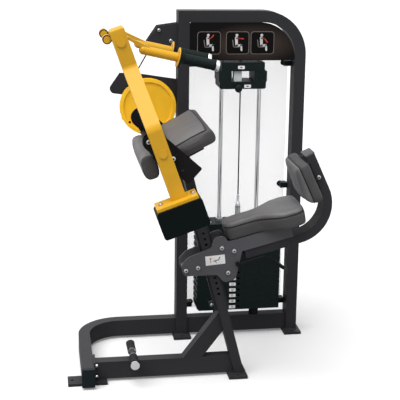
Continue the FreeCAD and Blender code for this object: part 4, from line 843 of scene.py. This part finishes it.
class PAD_OT_seat(bpy.types.Operator):
    """Horned seat cushion with a piped edge"""
    bl_idname = "pad.seat"
    bl_label = "Seat cushion"

    def execute(self, context):
        """Make the cushion."""
        sizes = context.scene.pad_sizes
        spot = corners("seat_pad")[2] + POST_UP * sizes.seat_seam
        # Painted shade: the lambda gives the faces below the seam the darker side vinyl.
        make_pad("seat_pad", "seat_cushion", "carriage", POST_UP, 0.006, [(spot, POST_UP)],
                 sizes.seat_rounds, lambda centre: (centre - spot).dot(POST_UP) < 0.0)
        return {"FINISHED"}


class PAD_OT_back(bpy.types.Operator):
    """Small back cushion with a piped face"""
    bl_idname = "pad.back"
    bl_label = "Back cushion"

    def execute(self, context):
        """Make the cushion."""
        sizes = context.scene.pad_sizes
        right = tilted(sizes.back_tilt)[0]
        spot = corners("back_pad")[2] - right * sizes.back_seam
        # Painted shade: the lambda gives the faces behind the seam, towards the board, the darker
        # side vinyl.
        make_pad("back_pad", "back_cushion", "carriage", -right, 0.008, [(spot, right)],
                 sizes.back_rounds, lambda centre: (centre - spot).dot(right) > 0.0,
                 sizes.back_plump)
        return {"FINISHED"}


# ---------------------------------------------------------------- metal and rubber parts

class MACHINE_OT_finishes(bpy.types.Operator):
    """Give every carried-over part of the machine its material"""
    bl_idname = "machine.finishes"
    bl_label = "Finishes"

    def execute(self, context):
        """Make the materials and assign them."""
        MATERIALS.update(make_materials(context.scene.finish_colours))
        for finish, names in NODE_FINISH.items():
            for name in names:
                slots = NODES[name].material_slots
                if not slots:
                    raise RuntimeError(f"{name} has no material slot")
                for slot in slots:
                    slot.material = MATERIALS[finish]
        return {"FINISHED"}


class MACHINE_OT_bolt_heads(bpy.types.Operator):
    """Domed socket heads on every bolt"""
    bl_idname = "machine.bolt_heads"
    bl_label = "Bolt heads"

    def execute(self, context):
        """Find each bolt in the CAD nodes and cap it."""
        trim = context.scene.trim_sizes
        arm_up = tilted(trim.arm_tilt)[1]
        slanted = {"carriage_bolts": -POST_UP, "arm_bolts": arm_up}
        bodies = {"frame_bolts": "frame", "carriage_bolts": "carriage", "arm_bolts": "arm"}
        for node, body in bodies.items():
            form = bmesh.new()
            for points in node_islands(node):
                low, high, middle = spread(points)
                size = high - low
                if node == "carriage_bolts" and size.y > STUD_LENGTH and size.x < STUD_WIDTH:
                    continue
                if min(size) > THIN_HEAD:
                    outwards = [slanted.get(node, -Y_AXIS)]
                    if node == "frame_bolts":
                        outwards = [-Y_AXIS, Y_AXIS]
                elif size.x < THIN_HEAD:
                    outwards = [X_AXIS]
                else:
                    centre = 0.0 if middle.z > TOWER_LEVEL else MIDDLE_Y
                    outwards = [Y_AXIS if middle.y > centre else -Y_AXIS]
                radius = min(trim.head_radius, sorted(size)[1] / 2 - 0.0004)
                head = socket_head_mesh(radius, trim.head_height)
                for outward in outwards:
                    reach = max((point - middle).dot(outward) for point in points)
                    stamp(form, head, facing(outward, middle + outward * reach))
                bpy.data.meshes.remove(head)
            heads = new_piece(node.replace("bolts", "bolt_heads"), form, "bolt", body)
            # Second slot: the painted shade of the sockets.
            add_finishes(heads, "hole")
        return {"FINISHED"}


def handle_axes(name):
    """Where a handle's grip line runs: a point on it and its direction."""
    pivot = Vector(JOINTS[name + "_swivel"]["pos_m"])
    tilt = bpy.context.scene.trim_sizes.handle_tilt
    right, up = tilted(-tilt)
    return pivot - up * GRIP_DROP, right


class MACHINE_OT_grips(bpy.types.Operator):
    """Ribbed grips with flared guards, and their chrome end rings"""
    bl_idname = "machine.grips"
    bl_label = "Handle grips"

    def execute(self, context):
        """Make both grips."""
        start, grip_end, ring_end = 0.238, 0.385, 0.400
        guard = [(0.0, start), (0.0385, start), (0.040, start + 0.0015), (0.0395, start + 0.004),
                 (0.036, start + 0.0055), (0.029, start + 0.010), (0.0235, start + 0.016),
                 (0.0215, start + 0.022)]
        ribs = []
        along = start + 0.026
        while along < grip_end - 0.014:
            ribs += [(0.0202, along), (0.0202, along + 0.0022), (0.0210, along + 0.0034),
                     (0.0210, along + 0.0066), (0.0202, along + 0.0078)]
            along += 0.0095
        sleeve_end = [(0.0212, grip_end - 0.010), (0.0218, grip_end - 0.006), (0.0214, grip_end),
                      (0.0, grip_end)]
        ring = [(0.0, grip_end + 0.0002), (0.0205, grip_end + 0.0002), (0.0220, grip_end + 0.0018),
                (0.0220, ring_end - 0.002), (0.0205, ring_end), (0.0165, ring_end),
                (0.0150, ring_end - 0.0025), (0.0, ring_end - 0.003)]
        for name in ("near_handle", "far_handle"):
            origin, direction = handle_axes(name)
            place = facing(direction, origin)
            for part, profile, finish in (("grip", guard + ribs + sleeve_end, "grip"),
                                          ("ring", ring, "chrome")):
                form = bmesh.new()
                spun(form, profile, place, 56)
                piece = new_piece(f"{name}_ribbed_{part}", closed_up(form), finish, name)
                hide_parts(f"{name}_{part}")
        return {"FINISHED"}


class MACHINE_OT_guards(bpy.types.Operator):
    """Yellow washers against the guards and dark rings round the balance stubs"""
    bl_idname = "machine.guards"
    bl_label = "Guard washers"

    def execute(self, context):
        """Make the washers and the rings."""
        tilt = context.scene.trim_sizes.handle_tilt
        right, up = tilted(-tilt)
        for name in ("near_handle", "far_handle"):
            origin, direction = handle_axes(name)
            form = bmesh.new()
            spun(form, [(0.0177, 0.2335), (0.0380, 0.2335), (0.0390, 0.2345), (0.0390, 0.2372),
                        (0.0380, 0.2378), (0.0177, 0.2378), (0.0177, 0.2335)],
                 facing(direction, origin), 48)
            new_piece(name + "_washer", closed_up(form), "yellow", name)
            centre = Vector(JOINTS[name + "_swivel"]["pos_m"]) - right * 0.048 - up * 0.006
            form = bmesh.new()
            for side in (-1, 1):
                spun(form, [(0.0140, 0.0), (0.0178, 0.0), (0.0182, -0.0006), (0.0182, -0.004),
                            (0.0140, -0.004), (0.0140, 0.0)],
                     facing(Y_AXIS * side, centre + Y_AXIS * (0.0163 * side)), 40)
            new_piece(name + "_stub_rings", closed_up(form), "cap", name)
        return {"FINISHED"}


class MACHINE_OT_fittings(bpy.types.Operator):
    """Swaged cable end at the stack"""
    bl_idname = "machine.fittings"
    bl_label = "Cable fittings"

    def execute(self, context):
        """Make the fitting at the stack's end of the cable."""
        cable_x = corners("cable_stack_drop")[2].x
        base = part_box("selector_stem")[1][2]
        form = bmesh.new()
        spun(form, [(0.0, -0.001), (0.0125, -0.001), (0.0125, 0.006), (0.0095, 0.010),
                    (0.0095, 0.018), (0.0060, 0.020), (0.0060, 0.052), (0.0052, 0.056),
                    (0.0034, 0.058), (0.0, 0.058)], Matrix.Translation((cable_x, 0.0, base)), 32)
        new_piece("stack_cable_fitting", closed_up(form), "steel", "stack")
        return {"FINISHED"}


def label_plates():
    """Level, near face and body of each stack plate, from the top down."""
    found = []
    for node, body in (("lifted_plates", "stack"), ("resting_plates", "frame")):
        for points in node_islands(node):
            low, _, middle = spread(points)
            found.append((middle.z, low.y, body))
    return sorted(found, key=lambda row: -row[0])


def text_form(text, height):
    """Flat text as a mesh, centred on the origin."""
    curve = bpy.data.curves.new("words", "FONT")
    curve.body = text
    curve.size = height
    curve.align_x = "CENTER"
    curve.align_y = "CENTER"
    curve.extrude = 0.0001
    curve.resolution_u = 3
    return curve_form(curve)


class MACHINE_OT_stack_labels(bpy.types.Operator):
    """White weight labels with plain numbers"""
    bl_idname = "machine.stack_labels"
    bl_label = "Stack labels"

    def execute(self, context):
        """Put one label on each plate, beside its pin hole."""
        trim = context.scene.trim_sizes
        label_x = corners("selector_pin")[2].x - LABEL_OFFSET
        forms = {"stack": bmesh.new(), "frame": bmesh.new()}
        for index, (middle, near_face, body) in enumerate(label_plates()):
            place = facing_viewer(label_x, near_face, middle)
            rounded_plate(forms[body], place, LABEL_WIDTH, trim.label_height, FOIL, 0.002)
            words = text_form(str(trim.first_weight + trim.weight_step * index), DIGIT_HEIGHT)
            merged(forms[body], words, place @ LIFT, 1)
        for body, form in forms.items():
            piece = new_piece(f"{body}_labels", form, "label", body, smooth=False)
            add_finishes(piece, "print")
        return {"FINISHED"}


def pictogram(form, place, strokes):
    """Round-ended strokes on a placement's XY plane: start, end, width and material index."""
    for start, end, width, material in strokes:
        run = Vector((end[0] - start[0], end[1] - start[1], 0.0))
        middle = ((start[0] + end[0]) / 2, (start[1] + end[1]) / 2, 0.0)
        turned = Matrix.Translation(middle) @ Matrix.Rotation(math.atan2(run.y, run.x), 4, "Z")
        rounded_plate(form, place @ turned, run.length + width, width, FOIL, width * 0.499,
                      material)


class MACHINE_OT_placard(bpy.types.Operator):
    """Framed pictograms on the placard"""
    bl_idname = "machine.placard"
    bl_label = "Placard pictures"

    def execute(self, context):
        """Three frames with a plain seated figure each."""
        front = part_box("placard_panel")[0][1]
        form = bmesh.new()
        bottom, top = 1.320, 1.420
        frames = ((0.059, 0.163), (0.187, 0.290), (0.2975, 0.403))
        arms = (((0.008, 0.020), (0.020, 0.034)), ((0.008, 0.020), (0.026, 0.018)),
                ((0.008, 0.020), (0.022, 0.002)))
        for (left, right), (elbow, hand) in zip(frames, arms):
            place = facing_viewer((left + right) / 2, front, (bottom + top) / 2)
            wide, tall = right - left, top - bottom
            rounded_plate(form, place, wide, tall, BACKING, 0.014, 0)
            rounded_plate(form, place @ LIFT, wide - 0.005, tall - 0.005, FOIL, 0.012, 1)
            pictogram(form, place @ Matrix.Translation((0, 0, 0.0009)), (
                ((-0.006, 0.022), (-0.004, -0.010), 0.012, 2),
                ((-0.004, -0.012), (0.016, -0.010), 0.009, 2),
                ((0.016, -0.010), (0.018, -0.032), 0.008, 2),
                ((-0.004, 0.034), (-0.0035, 0.034), 0.012, 2),
                ((-0.005, 0.020), elbow, 0.006, 3), (elbow, hand, 0.005, 3),
                ((-0.018, -0.018), (0.006, -0.018), 0.004, 4),
                ((-0.018, -0.018), (-0.022, 0.012), 0.004, 4)))
        piece = new_piece("placard_pictures", form, "placard_border", "frame",
                          smooth=False)
        add_finishes(piece, "placard_inset", "figure", "accent", "placard_border")
        return {"FINISHED"}


class MACHINE_OT_carriage_label(bpy.types.Operator):
    """White adjustment label with a plain pictogram on the carriage"""
    bl_idname = "machine.carriage_label"
    bl_label = "Carriage label"

    def execute(self, context):
        """A rounded plate with a seat and an arrow."""
        trim = context.scene.trim_sizes
        near_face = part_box("carriage_plates")[0][1]
        place = axes_matrix(tilted(trim.carriage_label_tilt)[0], -Y_AXIS,
                            Vector((0.0737, near_face, 0.528)))
        form = bmesh.new()
        rounded_plate(form, place, 0.082, 0.040, BACKING, 0.002)
        pictogram(form, place @ LIFT, (
            ((-0.006, -0.004), (0.014, 0.000), 0.0045, 1),
            ((0.014, 0.000), (0.020, 0.011), 0.0040, 1),
            ((0.000, -0.005), (0.004, -0.013), 0.0030, 1),
            ((-0.020, -0.010), (-0.020, 0.010), 0.0022, 2),
            ((-0.024, 0.006), (-0.020, 0.011), 0.0020, 2),
            ((-0.016, 0.006), (-0.020, 0.011), 0.0020, 2)))
        piece = new_piece("carriage_label", form, "label", "carriage",
                          smooth=False)
        add_finishes(piece, "figure_grey", "accent")
        return {"FINISHED"}


class MACHINE_OT_add_on_trim(bpy.types.Operator):
    """Grey latch block, white tags and latch knob on the add-on weights"""
    bl_idname = "machine.add_on_trim"
    bl_label = "Add-on trim"

    def execute(self, context):
        """Place the trim from the weights' own boxes."""
        low, high, _ = corners("lower_add_on_weight")
        cable_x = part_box("cable_stack_drop")[0][0]
        block = bmesh.new()
        rounded_plate(block, facing_viewer(cable_x - 0.019, low.y + 0.040, high.z - 0.024),
                      0.036, 0.0475, 0.030, 0.004)
        new_piece("latch_block", block, "latch", "add_on_weights",
                  smooth=False)
        tags = bmesh.new()
        for tag_x, tag_z in ((cable_x - 0.006, high.z + 0.017), (cable_x + 0.024, low.z + 0.012)):
            place = facing_viewer(tag_x, low.y, tag_z)
            rounded_plate(tags, place, 0.030, 0.0145, BACKING, 0.0025)
            rounded_plate(tags, place @ LIFT, 0.009, 0.005, FOIL, 0.001, 1)
        tags = new_piece("add_on_tags", tags, "label", "add_on_weights",
                         smooth=False)
        add_finishes(tags, "print")
        knob_low, _, centre = corners("add_on_knob")
        knob = bmesh.new()
        spun(knob, [(0.0, 0.0), (0.0130, 0.0), (0.0160, 0.003), (0.0165, 0.010), (0.0150, 0.014),
                    (0.0110, 0.016), (0.0, 0.017)],
             facing(-Y_AXIS, Vector((centre.x, knob_low.y + 0.002, centre.z))), 40)
        new_piece("add_on_knob_head", closed_up(knob), "cap", "add_on_knob")
        return {"FINISHED"}


class MACHINE_OT_eyelets(bpy.types.Operator):
    """Black eyelets that hold the rear sheet"""
    bl_idname = "machine.eyelets"
    bl_label = "Sheet eyelets"

    def execute(self, context):
        """One ring and screw for each clip."""
        low, _, sheet = corners("rear_shroud")
        form = bmesh.new()
        screws = bmesh.new()
        screw = socket_head_mesh(0.0052, 0.0030)
        for points in node_islands("shroud_clips"):
            clip = spread(points)[2]
            inwards = 1 if clip.x < sheet.x else -1
            spot = Vector((clip.x + inwards * 0.012, low.y - 0.0003, clip.z))
            spun(form, [(0.0055, 0.0), (0.0130, 0.0), (0.0140, 0.0015), (0.0125, 0.0032),
                        (0.0085, 0.0036), (0.0055, 0.0020), (0.0055, 0.0)],
                 facing(-Y_AXIS, spot), 28)
            stamp(screws, screw, facing(-Y_AXIS, spot))
        bpy.data.meshes.remove(screw)
        new_piece("sheet_eyelets", closed_up(form), "cap", "frame")
        heads = new_piece("eyelet_screws", screws, "bolt", "frame")
        # Second slot: the painted shade of the sockets.
        add_finishes(heads, "hole")
        return {"FINISHED"}


class MACHINE_OT_welds(bpy.types.Operator):
    """Weld beads at the feet of the uprights"""
    bl_idname = "machine.welds"
    bl_label = "Weld beads"

    def execute(self, context):
        """Beads round the uprights' feet."""
        radius = context.scene.trim_sizes.weld_radius
        clear = radius / 3
        low, high, _ = corners("tower_frame")
        near, far = low.y - clear, high.y + clear
        for index, left in enumerate((low.x, high.x - TUBE_WIDTH)):
            start, end = left - clear, left + TUBE_WIDTH + clear
            loop = [(start, near, low.z), (end, near, low.z), (end, far, low.z),
                    (start, far, low.z)]
            path_tube(f"upright_weld_{index + 1}", loop, radius, "frame", "frame")
        return {"FINISHED"}


# ---------------------------------------------------------------- floor, light and camera

def make_floor(settings):
    """A floor that looks white to the camera and throws back less light onto the machine."""
    form = bmesh.new()
    bmesh.ops.create_grid(form, x_segments=2, y_segments=2, size=20.0)
    bmesh.ops.translate(form, verts=form.verts, vec=(0, 0, -0.0008))
    floor = linked("floor", mesh_of("floor", form))
    paint, tree, shader = node_material("white_floor", (0.62, 0.62, 0.62), 0.9, gloss=0.1)
    ramp = vary_colour(tree, shader, object_noise(tree, 0.4), (0.615, 0.615, 0.615),
                       (0.625, 0.625, 0.625))
    rays = added(tree, "LightPath")
    bounce = added(tree, "Mix", data_type="RGBA")
    bounce.inputs["A"].default_value = (0.34, 0.34, 0.34, 1.0)
    wire(tree, rays, "Is Camera Ray", bounce, "Factor")
    wire(tree, ramp, "Color", bounce, "B")
    wire(tree, bounce, "Result", shader, "Base Color")
    shader.inputs["Emission Color"].default_value = (1.0, 1.0, 1.0, 1.0)
    strength = added(tree, "Math", {1: settings.floor_glow}, operation="MULTIPLY")
    wire(tree, rays, "Is Camera Ray", strength, 0)
    wire(tree, strength, "Value", shader, "Emission Strength")
    floor.data.materials.append(paint)


def make_lamps(settings):
    """A soft key light from overhead and a weak fill from the right."""
    key = bpy.data.lights.new("key", "SUN")
    key.energy = settings.key_strength
    key.angle = settings.key_softness
    fill = bpy.data.lights.new("fill", "AREA")
    fill.shape = "DISK"
    fill.size = 3.0
    fill.energy = settings.fill_power
    for lamp, place in ((key, (-1.5, -1.9, 5.0)), (fill, (3.4, -3.0, 2.4))):
        holder = linked(lamp.name, lamp)
        holder.location = place
        aim = Vector((0.0, -0.4, 0.7)) - Vector(place)
        holder.rotation_euler = aim.to_track_quat("-Z", "Y").to_euler()


def make_world(settings):
    """White where it is seen directly, in gloss or through a sheet; elsewhere an even light."""
    world = bpy.data.worlds.new("studio")
    bpy.context.scene.world = world
    world.use_nodes = True
    tree = world.node_tree
    background = tree.nodes["Background"]
    background.inputs["Color"].default_value = (1.0, 1.0, 1.0, 1.0)
    rays = added(tree, "LightPath")
    either = added(tree, "Math", operation="MAXIMUM")
    glass = added(tree, "Math", operation="MAXIMUM")
    level = added(tree, "MapRange", {"To Min": settings.sky, "To Max": 1.0})
    wire(tree, rays, "Is Camera Ray", either, 0)
    wire(tree, rays, "Is Glossy Ray", either, 1)
    wire(tree, either, "Value", glass, 0)
    wire(tree, rays, "Is Transmission Ray", glass, 1)
    wire(tree, glass, "Value", level, "Value")
    wire(tree, level, "Result", background, "Strength")


def make_camera(settings):
    """The camera, at the photograph's viewing angle."""
    camera = bpy.data.cameras.new("camera")
    camera.lens = settings.lens
    camera.sensor_width = 36.0
    camera.shift_x = settings.shift
    camera.shift_y = settings.shift
    camera.clip_end = 100.0
    holder = linked("camera", camera)
    turn = (Matrix.Rotation(-settings.camera_yaw, 4, "Z")
            @ Matrix.Rotation(math.radians(90) - settings.camera_pitch, 4, "X")
            @ Matrix.Rotation(settings.camera_roll, 4, "Z"))
    holder.matrix_world = Matrix.Translation(settings.camera_place) @ turn
    bpy.context.scene.camera = holder


class SCENE_OT_stage(bpy.types.Operator):
    """White floor, soft light and the camera"""
    bl_idname = "scene.stage"
    bl_label = "Stage"

    def execute(self, context):
        """Make the floor, the lamps, the world and the camera."""
        settings = context.scene.stage_settings
        for make in (make_floor, make_lamps, make_world, make_camera):
            make(settings)
        context.scene.view_settings.view_transform = "Standard"
        return {"FINISHED"}


# ---------------------------------------------------------------- panel and order of work

OPERATORS = (MACHINE_OT_finishes, PAD_OT_elbow, PAD_OT_stop, PAD_OT_seat, PAD_OT_back,
             MACHINE_OT_bolt_heads, MACHINE_OT_grips, MACHINE_OT_guards, MACHINE_OT_fittings,
             MACHINE_OT_stack_labels, MACHINE_OT_placard, MACHINE_OT_carriage_label,
             MACHINE_OT_add_on_trim, MACHINE_OT_eyelets, MACHINE_OT_welds, SCENE_OT_stage)


class VIEW3D_PT_machine(bpy.types.Panel):
    """The pieces of the machine, in the order they are made."""
    bl_label = "Triceps machine"
    bl_space_type = "VIEW_3D"
    bl_region_type = "UI"
    bl_category = "Machine"

    def draw(self, context):
        """List the operators."""
        for operator in OPERATORS:
            self.layout.operator(operator.bl_idname)


SETTINGS = (("pad_sizes", PadSizes), ("trim_sizes", TrimSizes), ("finish_colours", FinishColours),
            ("stage_settings", StageSettings))
CLASSES = (*OPERATORS, VIEW3D_PT_machine)


def register():
    """Register the settings, the operators and the panel."""
    for name, group in SETTINGS:
        bpy.utils.register_class(group)
        setattr(bpy.types.Scene, name, PointerProperty(type=group))
    for item in CLASSES:
        bpy.utils.register_class(item)


def unregister():
    """Take everything back out."""
    for item in reversed(CLASSES):
        bpy.utils.unregister_class(item)
    for name, group in reversed(SETTINGS):
        delattr(bpy.types.Scene, name)
        bpy.utils.unregister_class(group)


def main():
    """Make every piece in order."""
    register()
    for operator in OPERATORS:
        group, name = operator.bl_idname.split(".")
        getattr(getattr(bpy.ops, group), name)()


if __name__ == "__main__":
    main()
